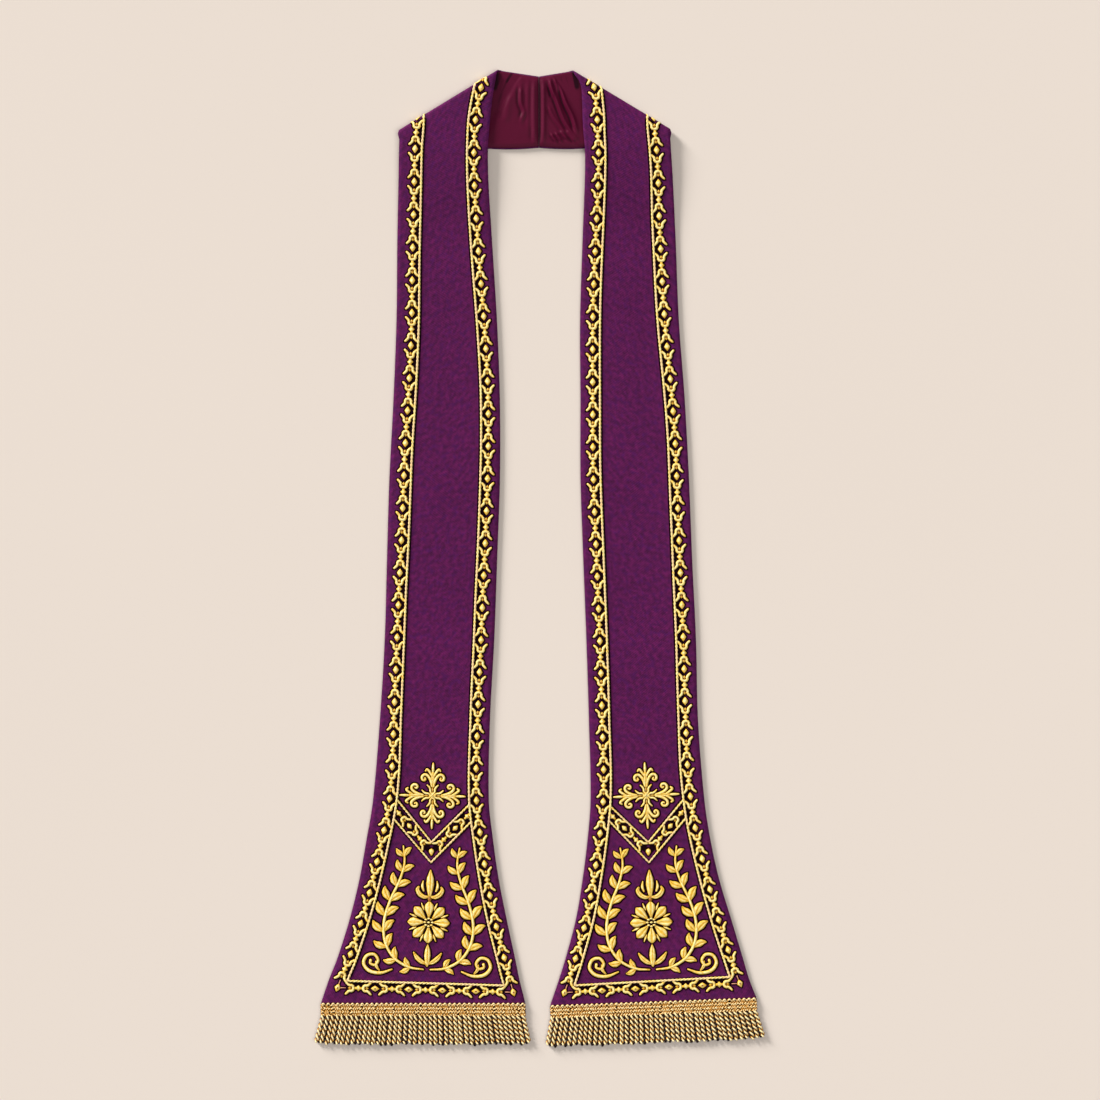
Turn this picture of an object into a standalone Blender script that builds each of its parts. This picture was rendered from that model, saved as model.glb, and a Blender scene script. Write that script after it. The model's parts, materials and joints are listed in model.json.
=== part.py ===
"""Clerical stole laid flat: two flared legs face up, folded back at the shoulders, neck part lining up.

Sizes are in millimetres and become metres when a mesh is made. +Y runs from the hems to the neck,
+X to the right as seen from above, and z = 0 is the surface that the stole lies on.
"""

import math
from collections import namedtuple

import bmesh
import bpy
from mathutils import Vector

MM = 0.001

# Cloth walls, and the layers they make, measured out from the core of the shoulder fold.
FACE_WALL = 1.5
LINING_WALL = 1.0
SEAM_GAP = 0.3
LINING_INNER = 0.8
LINING_OUTER = LINING_INNER + LINING_WALL
FACE_INNER = LINING_OUTER + SEAM_GAP
FACE_OUTER = FACE_INNER + FACE_WALL
STITCH_BASE = FACE_OUTER + SEAM_GAP
FOLD_AXIS_Z = FACE_OUTER
LEG_CORE_Z = -LINING_INNER
SLOPE_LENGTH = 125.0
FOLD_SHEAR = 8.0

# Outline of the two legs: where their edges lie at each station between hem and fold.
LegSection = namedtuple("LegSection", "y left_outer left_inner right_inner right_outer")
LEG_SECTIONS = (
    LegSection(-495.0, -240.5, -12.5, 12.5, 245.0),
    LegSection(-464.0, -230.1, -20.4, 23.0, 232.6),
    LegSection(-442.0, -221.3, -24.9, 29.9, 226.0),
    LegSection(-398.0, -207.4, -34.4, 41.6, 212.8),
    LegSection(-354.0, -196.6, -43.1, 49.0, 199.5),
    LegSection(-310.0, -188.7, -49.5, 54.5, 189.8),
    LegSection(-266.0, -181.5, -54.1, 57.8, 183.1),
    LegSection(-178.0, -174.0, -52.8, 56.0, 176.1),
    LegSection(-90.0, -168.7, -48.1, 53.2, 173.9),
    LegSection(-2.0, -166.2, -44.9, 49.8, 169.7),
    LegSection(86.0, -163.6, -41.9, 46.8, 166.2),
    LegSection(174.0, -159.1, -41.9, 46.7, 161.5),
    LegSection(262.0, -155.7, -45.2, 46.3, 155.0),
    LegSection(350.0, -154.8, -50.6, 49.0, 151.5),
    LegSection(416.0, -153.4, -54.5, 51.4, 148.3),
    LegSection(449.0, -152.8, -54.9, 51.5, 146.2),
    LegSection(471.0, -152.0, -53.5, 49.6, 145.0),
    LegSection(500.0, -151.6, -50.6, 48.4, 144.6),
    LegSection(520.0, -151.3, -47.7, 46.8, 144.3),
    LegSection(537.0, -151.0, -44.0, 38.5, 144.0),
)

# Shoulder folds, neck part and hems. The knee is where the neck part comes out from under the leg.
HalfSizes = namedtuple(
    "HalfSizes", "name side hem_outer_y hem_inner_y fold_outer fold_inner knee_y turn border_rise"
)
HALVES = (
    HalfSizes("left", -1, -489.5, -489.5, (-152.5, 471.0), (-44.0, 537.0), 450.5, -2.2, (1.9, -3.2)),
    HalfSizes("right", 1, -483.6, -492.0, (145.0, 472.2), (38.5, 536.3), 453.5, 2.2, (1.4, -1.6)),
)
CENTRE_BACK_X = 1.0
CENTRE_BACK_TOP_Y = 530.0
CENTRE_BACK_LOW_Y = 451.5
NECK_LOW_BULGE = 8.5
LINING_SETBACK = 2.5
CREASES_FROM = 0.55
CREASES_FADE = 0.25

# Soft creases of the neck lining: where each runs, how far it spreads and how high it stands.
NeckCrease = namedtuple("NeckCrease", "name top low spread height")
NECK_CREASES = (
    NeckCrease("left of the seam", (-20.0, 521.0), (-17.0, 482.0), 6.0, 1.8),
    NeckCrease("left corner", (-33.0, 528.0), (-30.0, 505.0), 7.0, 1.6),
    NeckCrease("seam, left side", (-6.0, 528.0), (-7.0, 456.0), 6.0, 1.4),
    NeckCrease("seam, right side", (9.0, 528.0), (10.0, 456.0), 6.0, 1.6),
    NeckCrease("right, long", (23.0, 522.0), (41.0, 470.0), 7.0, 2.0),
    NeckCrease("right, inner", (15.0, 515.0), (37.0, 462.0), 6.0, 1.5),
)

# Rows and columns of the cloth grids.
StationRun = namedtuple("StationRun", "low high steps")
LEG_STATIONS = (StationRun(0.0, 0.30, 11), StationRun(0.30, 0.76, 9), StationRun(0.76, 1.0, 13))
FOLD_STEPS = 6
CUT_ROWS = (5, 29)  # rows where each cloth layer is parted: end below the first, neck part past the second
Layer = namedtuple("Layer", "name inner outer setback columns neck_steps creased material")
LAYERS = (
    Layer("face", FACE_INNER, FACE_OUTER, 0.0, 4, 6, False, "face_cloth"),
    Layer("lining", LINING_INNER, LINING_OUTER, LINING_SETBACK, 6, 12, True, "lining_satin"),
)

# Rounds that settle where two lines cross, and steps between a curve's given points.
CROSSING_ROUNDS = 6
MITRE_LIMIT = 0.5
BRANCH_CURVE_STEPS = 5
TENDRIL_CURVE_STEPS = 3

# Fringe: heading braid and strands.
HEADING_HEIGHT = 14.0
FRINGE_HEIGHT = 46.5
FRINGE_BOTTOM_Z = 0.25
FRINGE_TOP_Z = 2.65
STRANDS = 42
STRAND_FILL = 0.74
STRAND_STEPS = 3
STRAND_TIP_WIDTH = 0.8
STRAND_TIP_THICKNESS = 0.75
STRAND_SWAY = 0.35
STRAND_SWAY_TURN = 1.7
STRAND_SWAY_RISE = 2.1
STRAND_UNEVEN = 1.2
STRAND_UNEVEN_TURN = 2.4
SPLAY_OUTER = 8.5
SPLAY_INNER = 7.0

# Gold cord and the border chain between it and the cloth's edge.
InsetRow = namedtuple("InsetRow", "y chain cord")
INSETS = (
    InsetRow(-495.0, 11.2, 19.3),
    InsetRow(-376.0, 13.8, 22.0),
    InsetRow(-266.0, 14.2, 22.2),
    InsetRow(-178.0, 13.4, 21.2),
    InsetRow(262.0, 13.6, 21.5),
    InsetRow(449.0, 15.1, 22.6),
    InsetRow(483.0, 16.0, 23.7),
    InsetRow(519.0, 14.1, 21.7),
    InsetRow(540.0, 13.0, 20.4),
)
# How far the border of each side strays to the right of its even course.
DriftRow = namedtuple("DriftRow", "y left_outer left_inner right_inner right_outer")
BORDER_DRIFTS = (
    DriftRow(-470.0, 0.9, 1.5, -0.8, 0.0),
    DriftRow(-410.0, 0.2, 0.4, -2.1, -0.8),
    DriftRow(-350.0, 1.0, 1.2, -1.9, 1.0),
    DriftRow(-290.0, 3.6, 0.9, -0.8, -0.3),
    DriftRow(-230.0, 3.8, 0.2, 0.8, -1.2),
    DriftRow(-170.0, 1.8, -0.2, 1.3, -0.1),
    DriftRow(-110.0, 0.5, -1.0, 1.5, -0.6),
    DriftRow(-50.0, 0.6, -1.2, 1.5, -0.6),
    DriftRow(10.0, 2.0, -0.5, 1.4, -0.2),
    DriftRow(70.0, 2.7, -0.4, 1.1, -0.3),
    DriftRow(130.0, 2.4, 0.3, 0.4, 0.2),
    DriftRow(190.0, 3.1, 0.5, 0.2, -0.7),
    DriftRow(250.0, 3.3, -0.4, 0.5, -1.8),
    DriftRow(310.0, 3.0, -1.4, 0.3, -2.7),
    DriftRow(370.0, 3.1, -1.5, 0.4, -2.8),
    DriftRow(430.0, 2.7, -0.5, 0.0, -1.0),
    DriftRow(480.0, 2.7, 0.0, 0.0, -1.0),
)
HEM_CHAIN_INSET = 15.0
HEM_CORD_INSET = 22.5
CORD_HALF_WIDTH = 1.5
CORD_HEIGHT = 1.1
CHAIN_HEIGHT = 1.2
CHAIN_PITCH = 35.66
CORNER_LINK = 4.4
HEM_UNITS = 5
SIDE_STEP = 30.0
FOLD_CLEARANCE = 3.0
LINK_HALF_WIDTH = 0.7
DIAMOND_REACH = 3.4

# Half of one repeat, from the middle of a diamond to the middle of a bead.
ChainStation = namedtuple("ChainStation", "along half_width")
CHAIN_HALF_UNIT = (
    ChainStation(0.0, 3.7),
    ChainStation(3.2, LINK_HALF_WIDTH),
    ChainStation(4.8, 5.2),
    ChainStation(14.3, 1.2),
    ChainStation(CHAIN_PITCH / 2, 3.6),
)

# V band above the end panel: heights at the two side cords and the place of the apex.
VCord = namedtuple("VCord", "half name outer_y apex_x apex_y inner_y")
V_CORDS = (
    VCord("left", "upper", -265.4, -117.2, -312.6, -271.2),
    VCord("left", "lower", -286.7, -117.7, -334.8, -290.0),
    VCord("right", "upper", -265.6, 121.4, -312.7, -273.1),
    VCord("right", "lower", -285.5, 122.1, -334.8, -288.9),
)
V_CORD_HALF_WIDTH = 1.3
V_CORD_END_GAP = 3.2
V_CHAIN_FACTOR = 0.62
V_CHAIN_START = 1.9
V_CHAIN_END_GAP = 5.5
V_CHAIN_APEX = (ChainStation(5.0, LINK_HALF_WIDTH), ChainStation(7.0, 5.2))

# Cross: half outline of one arm, from the middle outwards.
ArmPoint = namedtuple("ArmPoint", "along across")
CROSS_ARM = (
    ArmPoint(6.0, 3.4),
    ArmPoint(9.0, 2.3),
    ArmPoint(12.6, 6.0),
    ArmPoint(12.8, 2.0),
    ArmPoint(17.2, 3.4),
    ArmPoint(15.2, 9.8),
    ArmPoint(17.6, 13.9),
    ArmPoint(21.6, 13.9),
    ArmPoint(23.6, 9.4),
    ArmPoint(27.2, 9.4),
    ArmPoint(29.4, 6.6),
    ArmPoint(27.2, 2.0),
    ArmPoint(35.0, 0.9),
)
CROSS_NOTCH = 2.2
CrossPlace = namedtuple("CrossPlace", "half x y turn")
CROSSES = (
    CrossPlace("left", -115.5, -261.8, -1.3),
    CrossPlace("right", 119.1, -261.3, 2.8),
)
ORNAMENT_HEIGHT = 1.2

# End ornament, in its own frame: u across from the panel's middle line, v up from the lower apex.
ROSETTE_CENTRE = (0.0, -66.0)
ROSETTE_PETALS = 8
ROSETTE_RADIUS = 22.5
ROSETTE_EYE = 7.0
ROSETTE_SHOULDER = 16.0
ROSETTE_PETAL_HALF_TURN = 0.76
BRANCH_ROUTE = (
    (3.5, -118.0),
    (20.0, -116.0),
    (37.0, -106.0),
    (47.5, -88.0),
    (49.0, -66.0),
    (43.0, -43.0),
    (34.0, -22.0),
    (29.0, -2.0),
    (31.0, 17.0),
)
BRANCH_HALF_WIDTH = 1.7
BRANCH_LEAVES = 9
BRANCH_BARE_FOOT = 0.9
BRANCH_BARE_TIP = 0.9
LEAF_LENGTH = 13.0
LEAF_HALF_WIDTH = 2.8
LEAF_WIDEST = 0.45
LEAF_ANGLE = math.radians(48.0)
LEAF_FOOT = 1.6
TENDRIL_ROUTE = (
    (38.0, -119.0),
    (51.0, -123.5),
    (63.5, -121.5),
    (69.5, -113.5),
    (65.5, -105.5),
    (58.0, -106.5),
    (58.0, -113.0),
)
TENDRIL_HALF_WIDTHS = (0.9, 1.9, 2.2, 2.1, 1.9, 1.7, 2.3)

# Half outlines of the two small sprays on the panel's middle line, from the foot to the tip.
TREFOIL = (
    (0.0, -42.0),
    (2.2, -35.5),
    (7.5, -38.5),
    (13.5, -34.5),
    (14.0, -28.5),
    (9.5, -27.0),
    (7.0, -30.5),
    (4.5, -28.5),
    (6.5, -20.0),
    (0.0, -8.0),
)
BUD = (
    (0.0, -114.0),
    (2.5, -108.0),
    (10.0, -106.5),
    (15.5, -99.0),
    (8.5, -100.0),
    (4.5, -102.5),
    (4.5, -97.0),
    (0.0, -91.0),
)

# Finishes: 8-bit sRGB colour, roughness and metallic value.
Finish = namedtuple("Finish", "colour roughness metallic")
FINISHES = {
    "face_cloth": Finish((93, 27, 78), 0.85, 0.0),
    "lining_satin": Finish((82, 21, 48), 0.45, 0.0),
    "gold_thread": Finish((236, 196, 104), 0.42, 0.3),
    "fringe_thread": Finish((176, 138, 78), 0.5, 0.3),
}


def clear_scene():
    for obj in list(bpy.data.objects):
        bpy.data.objects.remove(obj, do_unlink=True)


def linear(channel):
    """Scene-linear value of an 8-bit sRGB channel."""
    value = channel / 255
    return value / 12.92 if value <= 0.04045 else ((value + 0.055) / 1.055) ** 2.4


def make_material(name):
    finish = FINISHES[name]
    material = bpy.data.materials.new(name)
    material.use_nodes = True
    shader = material.node_tree.nodes["Principled BSDF"]
    shader.inputs["Base Color"].default_value = (*(linear(c) for c in finish.colour), 1.0)
    shader.inputs["Roughness"].default_value = finish.roughness
    shader.inputs["Metallic"].default_value = finish.metallic
    return material


def add_solid(name, built, material, collection):
    """Turns a bmesh in millimetres into a named object, faces outwards."""
    bmesh.ops.recalc_face_normals(built, faces=built.faces)
    bmesh.ops.scale(built, vec=(MM, MM, MM), verts=built.verts)
    mesh = bpy.data.meshes.new(name)
    built.to_mesh(mesh)
    built.free()
    mesh.materials.append(material)
    collection.objects.link(bpy.data.objects.new(name, mesh))


def loft(rings):
    """Closed solid through rings of points in the same order, its two ends closed across the ring."""
    built = bmesh.new()
    grid = [[built.verts.new(point) for point in ring] for ring in rings]
    count = len(rings[0])
    for near, far in zip(grid, grid[1:]):
        for i in range(count):
            j = (i + 1) % count
            built.faces.new((near[i], near[j], far[j], far[i]))
    for ring in (grid[0], grid[-1]):
        if count == 3:
            built.faces.new(ring)
            continue
        for i in range(count // 2 - 1):
            built.faces.new((ring[i], ring[i + 1], ring[count - 2 - i], ring[count - 1 - i]))
    return built


def plate(outline, bottom, top):
    """Closed solid between two heights over a flat outline."""
    built = bmesh.new()
    low = [built.verts.new((x, y, bottom)) for x, y in outline]
    high = [built.verts.new((x, y, top)) for x, y in outline]
    for i in range(len(outline)):
        j = (i + 1) % len(outline)
        built.faces.new((low[i], low[j], high[j], high[i]))
    caps = [built.faces.new(low), built.faces.new(high)]
    built.normal_update()
    bmesh.ops.triangulate(built, faces=caps, ngon_method="EAR_CLIP")
    return built


def smooth(rows, column, y):
    """Value of a table's column at y, on a smooth curve through its rows."""
    last = len(rows) - 1
    y = min(max(y, rows[0].y), rows[last].y)
    i = next(k for k in range(last) if y <= rows[k + 1].y)

    def slope(k):
        low, high = rows[max(k - 1, 0)], rows[min(k + 1, last)]
        return (getattr(high, column) - getattr(low, column)) / (high.y - low.y)

    span = rows[i + 1].y - rows[i].y
    f = (y - rows[i].y) / span
    start, end = getattr(rows[i], column), getattr(rows[i + 1], column)
    rise = f * f * (3 - 2 * f)
    lean = f * (1 - f) * span
    return start + (end - start) * rise + lean * ((1 - f) * slope(i) - f * slope(i + 1))


def ease(f):
    """Goes from 0 to 1 with level ends."""
    f = min(max(f, 0.0), 1.0)
    return f * f * (3 - 2 * f)


def curve_through(points, steps):
    """Points of a smooth open curve through the given ones."""
    ends = [2 * points[0] - points[1], *points, 2 * points[-1] - points[-2]]
    found = []
    for a, b, c, d in zip(ends, ends[1:], ends[2:], ends[3:]):
        square = 2 * a - 5 * b + 4 * c - d
        cube = 3 * b - a - 3 * c + d
        for k in range(steps):
            f = k / steps
            found.append(b + 0.5 * ((c - a) * f + square * f**2 + cube * f**3))
    return [*found, points[-1]]


class Route:
    """A line on the cloth, read by the distance along it."""

    def __init__(self, points):
        self.points = points
        self.marks = [0.0]
        for a, b in zip(points, points[1:]):
            self.marks.append(self.marks[-1] + (b - a).length)
        self.length = self.marks[-1]

    def at(self, distance):
        last = len(self.points) - 2
        i = next((k for k in range(last) if distance <= self.marks[k + 1]), last)
        f = (distance - self.marks[i]) / (self.marks[i + 1] - self.marks[i])
        return self.points[i].lerp(self.points[i + 1], f)

    def normal(self, distance, reach=1.0):
        """Unit normal on the left of the line."""
        along = (self.at(distance + reach) - self.at(distance - reach)).normalized()
        return Vector((-along.y, along.x))


class Half:
    """One half of the stole: the flat shape of its leg, shoulder fold and half of the neck part."""

    def __init__(self, sizes):
        self.name = sizes.name
        self.side = sizes.side
        self.turn = math.radians(sizes.turn)
        self.hem_y = {"outer": sizes.hem_outer_y, "inner": sizes.hem_inner_y}
        self.border_rise = dict(zip(("outer", "inner"), sizes.border_rise))
        silhouette = [Vector(sizes.fold_outer), Vector(sizes.fold_inner)]
        along = (silhouette[1] - silhouette[0]).normalized()
        self.fold_out = Vector((along.y, -along.x)) * self.side
        self.shear = along * FOLD_SHEAR
        to_axis = self.fold_out * FACE_OUTER + self.shear / 2
        self.fold_outer, self.fold_inner = [end - to_axis for end in silhouette]
        self.knee = Vector((self.edge("inner", sizes.knee_y), sizes.knee_y))
        self.seam_x = CENTRE_BACK_X + self.side * SEAM_GAP / 2

    def edge(self, edge, y):
        return smooth(LEG_SECTIONS, f"{self.name}_{edge}", y)

    def inward(self, edge):
        """Sign of x from this edge into the cloth."""
        return -self.side if edge == "outer" else self.side

    def inset_x(self, edge, column, y):
        drift = smooth(BORDER_DRIFTS, f"{self.name}_{edge}", y)
        return self.edge(edge, y) + self.inward(edge) * smooth(INSETS, column, y) + drift

    def hem_corner(self, edge):
        return Vector((self.edge(edge, self.hem_y[edge]), self.hem_y[edge]))

    def hem_at(self, x):
        outer, inner = self.hem_corner("outer"), self.hem_corner("inner")
        return outer.lerp(inner, (x - outer.x) / (inner.x - outer.x)).y

    def fold_at(self, x):
        a, b = self.fold_outer, self.fold_inner
        return a.lerp(b, (x - a.x) / (b.x - a.x)).y

    def core_height(self, x, y):
        """Height of the leg's core: over the neck part, then down to the surface."""
        a, b = self.fold_outer, self.knee
        hidden_edge_y = a.lerp(b, (x - a.x) / (b.x - a.x)).y
        lowered = ease((hidden_edge_y - y) / SLOPE_LENGTH)
        return FOLD_AXIS_Z + (LEG_CORE_Z - FOLD_AXIS_Z) * lowered

    def leg_ends(self, station, hem_setback):
        """Outer and inner end of a row across the leg, from 0 at the hem to 1 at the fold."""
        ends = []
        for edge, fold in (("outer", self.fold_outer), ("inner", self.fold_inner)):
            hem = self.hem_y[edge] + hem_setback
            y = hem + (fold.y - hem) * station
            at_edge = Vector((self.edge(edge, y), y))
            ends.append(at_edge if station < 1.0 else fold)
        return ends

    def neck_ends(self, station):
        """Lower and upper end of a row across the neck part, from 0 at the fold to 1 at the seam."""
        low = (self.fold_outer + self.shear).lerp(Vector((self.seam_x, CENTRE_BACK_LOW_Y)), station)
        low.y -= NECK_LOW_BULGE * 4 * station * (1 - station)
        return low, (self.fold_inner + self.shear).lerp(Vector((self.seam_x, CENTRE_BACK_TOP_Y)), station)

    def corner(self, edge, column, hem_inset):
        """Where the line at an inset from this edge meets the one along the hem."""
        hem_inset += self.border_rise[edge]
        y = self.hem_y[edge] + hem_inset
        for _ in range(CROSSING_ROUNDS):
            y = self.hem_at(self.inset_x(edge, column, y)) + hem_inset
        return Vector((self.inset_x(edge, column, y), y))

    def side_line(self, edge, column, hem_inset, overrun=0.0):
        """Points of the line at an inset from this edge, from the hem's corner up to the fold."""
        start = self.corner(edge, column, hem_inset)
        end_y = self.fold_at(self.inset_x(edge, column, start.y)) - FOLD_CLEARANCE
        for _ in range(CROSSING_ROUNDS):
            end_y = self.fold_at(self.inset_x(edge, column, end_y)) - FOLD_CLEARANCE
        steps = round((end_y - start.y) / SIDE_STEP)
        heights = [start.y + (end_y - start.y) * k / steps for k in range(1, steps + 1)]
        points = [start, *(Vector((self.inset_x(edge, column, y), y)) for y in heights)]
        if overrun:
            points[0] = start + (points[0] - points[1]).normalized() * overrun
        return points

    def on_cloth(self, x, y, height):
        """A point at this height above the face cloth's own layer base."""
        return (x, y, self.core_height(x, y) + STITCH_BASE + height)

    def placed(self, origin, u, v):
        """A point of the end ornament's frame, on the cloth's plan."""
        cos, sin = math.cos(self.turn), math.sin(self.turn)
        return Vector((origin.x + u * cos - v * sin, origin.y + u * sin + v * cos))


def row_points(ends, columns, setback):
    """Points across a row, its ends moved in by the setback."""
    a, b = ends
    step = (b - a).normalized() * setback
    return [(a + step).lerp(b - step, k / columns) for k in range(columns + 1)]


def neck_rise(x, y):
    """Height of the neck lining's soft creases."""
    rise = 0.0
    for crease in NECK_CREASES:
        top, low = Vector(crease.top), Vector(crease.low)
        line = low - top
        f = (Vector((x, y)) - top).dot(line) / line.length_squared
        nearest = top + line * min(max(f, 0.0), 1.0)
        away = (Vector((x, y)) - nearest).length / crease.spread
        rise += crease.height * math.exp(-away * away)
    return rise


def cloth_walls(half, layer):
    """One cloth layer of a half as three lofts of rings across it: flared end, leg, and fold with neck part."""
    columns, setback = layer.columns, layer.setback
    stations = [0.0]
    for run in LEG_STATIONS:
        stations += [run.low + (run.high - run.low) * (k + 1) / run.steps for k in range(run.steps)]
    cut_gap = SEAM_GAP / (half.fold_outer.y - half.hem_y["outer"])
    for row in reversed(CUT_ROWS):
        stations.insert(row + 1, stations[row] + cut_gap)
    starts = [row + 1 + k for k, row in enumerate(CUT_ROWS)]
    up = Vector((0, 0, 1))
    out = half.fold_out.to_3d()
    rows = []
    for station in stations:
        points = row_points(half.leg_ends(station, setback), columns, setback)
        rows.append([(Vector((*p, half.core_height(*p))), up) for p in points])
    crest = row_points((half.fold_outer, half.fold_inner), columns, setback)
    for k in range(1, FOLD_STEPS + 1):
        angle = math.pi * k / FOLD_STEPS
        direction = up * math.cos(angle) + out * math.sin(angle)
        slip = half.shear * k / FOLD_STEPS
        rows.append([(Vector((*(p + slip), FOLD_AXIS_Z)), direction) for p in crest])
    for k in range(1, layer.neck_steps + 1):
        station = k / layer.neck_steps
        points = row_points(half.neck_ends(station), columns, setback)
        visible = ease((station - CREASES_FROM) / CREASES_FADE) if layer.creased else 0.0
        lift = [neck_rise(*p) * visible for p in points]
        rows.append([(Vector((*p, FOLD_AXIS_Z + z)), -up) for p, z in zip(points, lift)])
    rings = []
    for row in rows:
        far_side = [core + direction * layer.outer for core, direction in row]
        near_side = [core + direction * layer.inner for core, direction in reversed(row)]
        rings.append(far_side + near_side)
    return [loft(rings[a:b]) for a, b in zip([0, *starts], [*starts, len(rings)])]


def ridge(half, points, normals, half_widths, height):
    """A raised line of thread: a low triangular ridge that follows the cloth."""
    rings = []
    for point, normal, half_width in zip(points, normals, half_widths):
        left = point + normal * half_width
        right = point - normal * half_width
        rings.append([half.on_cloth(*left, 0.0), half.on_cloth(*point, height), half.on_cloth(*right, 0.0)])
    return loft(rings)


def mitred_normals(points):
    """Left normals of a line with sharp corners, lengthened at each corner to keep its width."""
    directions = [(b - a).normalized() for a, b in zip(points, points[1:])]
    normals = []
    for before, after in zip([directions[0], *directions], [*directions, directions[-1]]):
        bisector = (before + after).normalized()
        normal = Vector((-bisector.y, bisector.x))
        normals.append(normal / max(bisector.dot(before), MITRE_LIMIT))
    return normals


def cord(half, points, half_width):
    return ridge(half, points, mitred_normals(points), [half_width] * len(points), CORD_HEIGHT)


def chain(half, route, stations, factor=1.0):
    """The diamond, tulip and bead repeat along a route."""
    points = [route.at(s.along) for s in stations]
    normals = [route.normal(s.along) for s in stations]
    widths = [s.half_width * factor for s in stations]
    return ridge(half, points, normals, widths, CHAIN_HEIGHT)


def chain_stations(start, length, stretch=1.0):
    """Stations of the repeat from a diamond at start, up to the given length."""
    pitch = CHAIN_PITCH * stretch
    stations = []
    for unit in range(math.ceil((length - start) / pitch)):
        rising = [ChainStation(s.along * stretch, s.half_width) for s in CHAIN_HALF_UNIT]
        falling = [ChainStation(pitch - s.along, s.half_width) for s in reversed(rising[1:-1])]
        first = start + unit * pitch
        stations += [ChainStation(first + s.along, s.half_width) for s in rising + falling]
    return [s for s in stations if s.along < length]


def side_chain(half, edge):
    """Border chain from the corner diamond up to the fold."""
    route = Route(half.side_line(edge, "chain", HEM_CHAIN_INSET, overrun=DIAMOND_REACH))
    corner = DIAMOND_REACH
    diamond = CHAIN_HALF_UNIT[0].half_width
    stations = [ChainStation(0.0, LINK_HALF_WIDTH), ChainStation(corner, diamond)]
    stations.append(ChainStation(corner + DIAMOND_REACH, LINK_HALF_WIDTH))
    repeat = chain_stations(corner + CORNER_LINK, route.length)
    return chain(half, route, stations + repeat[1:])


def hem_chain(half):
    """Border chain between the two corner diamonds."""
    ends = [half.corner(edge, "chain", HEM_CHAIN_INSET) for edge in ("outer", "inner")]
    route = Route(ends)
    stretch = (route.length - 2 * CORNER_LINK) / (HEM_UNITS * CHAIN_PITCH)
    clear = DIAMOND_REACH + CORNER_LINK / 2
    repeat = chain_stations(CORNER_LINK, route.length - CORNER_LINK, stretch)[1:]
    ends = [ChainStation(clear, LINK_HALF_WIDTH), ChainStation(route.length - clear, LINK_HALF_WIDTH)]
    return chain(half, route, [ends[0], *repeat, ends[1]])


def cord_frame(half):
    """The laid gold line: down the outer side, along the hem and up the inner side."""
    outer = half.side_line("outer", "cord", HEM_CORD_INSET)
    inner = half.side_line("inner", "cord", HEM_CORD_INSET)
    return cord(half, [*reversed(outer), *inner], CORD_HALF_WIDTH)


def v_points(half, row, end_gap):
    """The three points of one line of the V band."""
    ends = []
    for edge, y in (("outer", row.outer_y), ("inner", row.inner_y)):
        ends.append(Vector((half.inset_x(edge, "cord", y) + half.inward(edge) * end_gap, y)))
    return [ends[0], Vector((row.apex_x, row.apex_y)), ends[1]]


def v_chain(half, upper, lower):
    """The repeat between the two V lines, on both arms from the apex."""
    mid = [a.lerp(b, 0.5) for a, b in zip(v_points(half, upper, 0.0), v_points(half, lower, 0.0))]
    first = V_CHAIN_APEX[-1].along
    arms = []
    for end in (mid[0], mid[2]):
        route = Route([mid[1], end])
        repeat = chain_stations(V_CHAIN_START, route.length - V_CHAIN_END_GAP)
        stations = [*V_CHAIN_APEX, *(s for s in repeat if s.along > first)]
        arms.append([(route.at(s.along), s.half_width * V_CHAIN_FACTOR) for s in stations])
    apex = [(mid[1], LINK_HALF_WIDTH)]
    line = [*reversed(arms[0]), *apex, *arms[1]]
    points = [point for point, _ in line]
    return ridge(half, points, mitred_normals(points), [width for _, width in line], CHAIN_HEIGHT)


def cross_outline(place):
    """Outline of the flory cross: one arm's half outline, mirrored and turned four times."""
    arm = [Vector((CROSS_NOTCH, -CROSS_NOTCH))]
    arm += [Vector((p.along, -p.across)) for p in CROSS_ARM]
    arm += [Vector(p) for p in reversed(CROSS_ARM)]
    outline = []
    for quarter in range(4):
        angle = math.radians(place.turn + 90 * quarter)
        cos, sin = math.cos(angle), math.sin(angle)
        outline += [(place.x + p.x * cos - p.y * sin, place.y + p.x * sin + p.y * cos) for p in arm]
    return outline


def rosette_outline(half, origin):
    """Outline of an eight-petalled rosette."""
    outline = []
    step = 2 * math.pi / ROSETTE_PETALS
    for petal in range(ROSETTE_PETALS):
        middle = petal * step
        spread = step * ROSETTE_PETAL_HALF_TURN / 2
        corners = (
            (ROSETTE_EYE, middle - step / 2),
            (ROSETTE_SHOULDER, middle - spread),
            (ROSETTE_RADIUS, middle),
            (ROSETTE_SHOULDER, middle + spread),
        )
        for radius, angle in corners:
            u = ROSETTE_CENTRE[0] + radius * math.sin(angle)
            v = ROSETTE_CENTRE[1] + radius * math.cos(angle)
            outline.append(half.placed(origin, u, v))
    return outline


def leaf_corners(foot, along, normal, sign):
    """Points of one leaf: its widest places and its tip, from a foot on the stem."""
    direction = along * math.cos(LEAF_ANGLE) + normal * sign * math.sin(LEAF_ANGLE)
    across = Vector((-direction.y, direction.x)) * sign
    middle = foot + direction * LEAF_LENGTH * LEAF_WIDEST
    back = middle + across * LEAF_HALF_WIDTH
    front = middle - across * LEAF_HALF_WIDTH
    return back, foot + direction * LEAF_LENGTH, front


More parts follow.
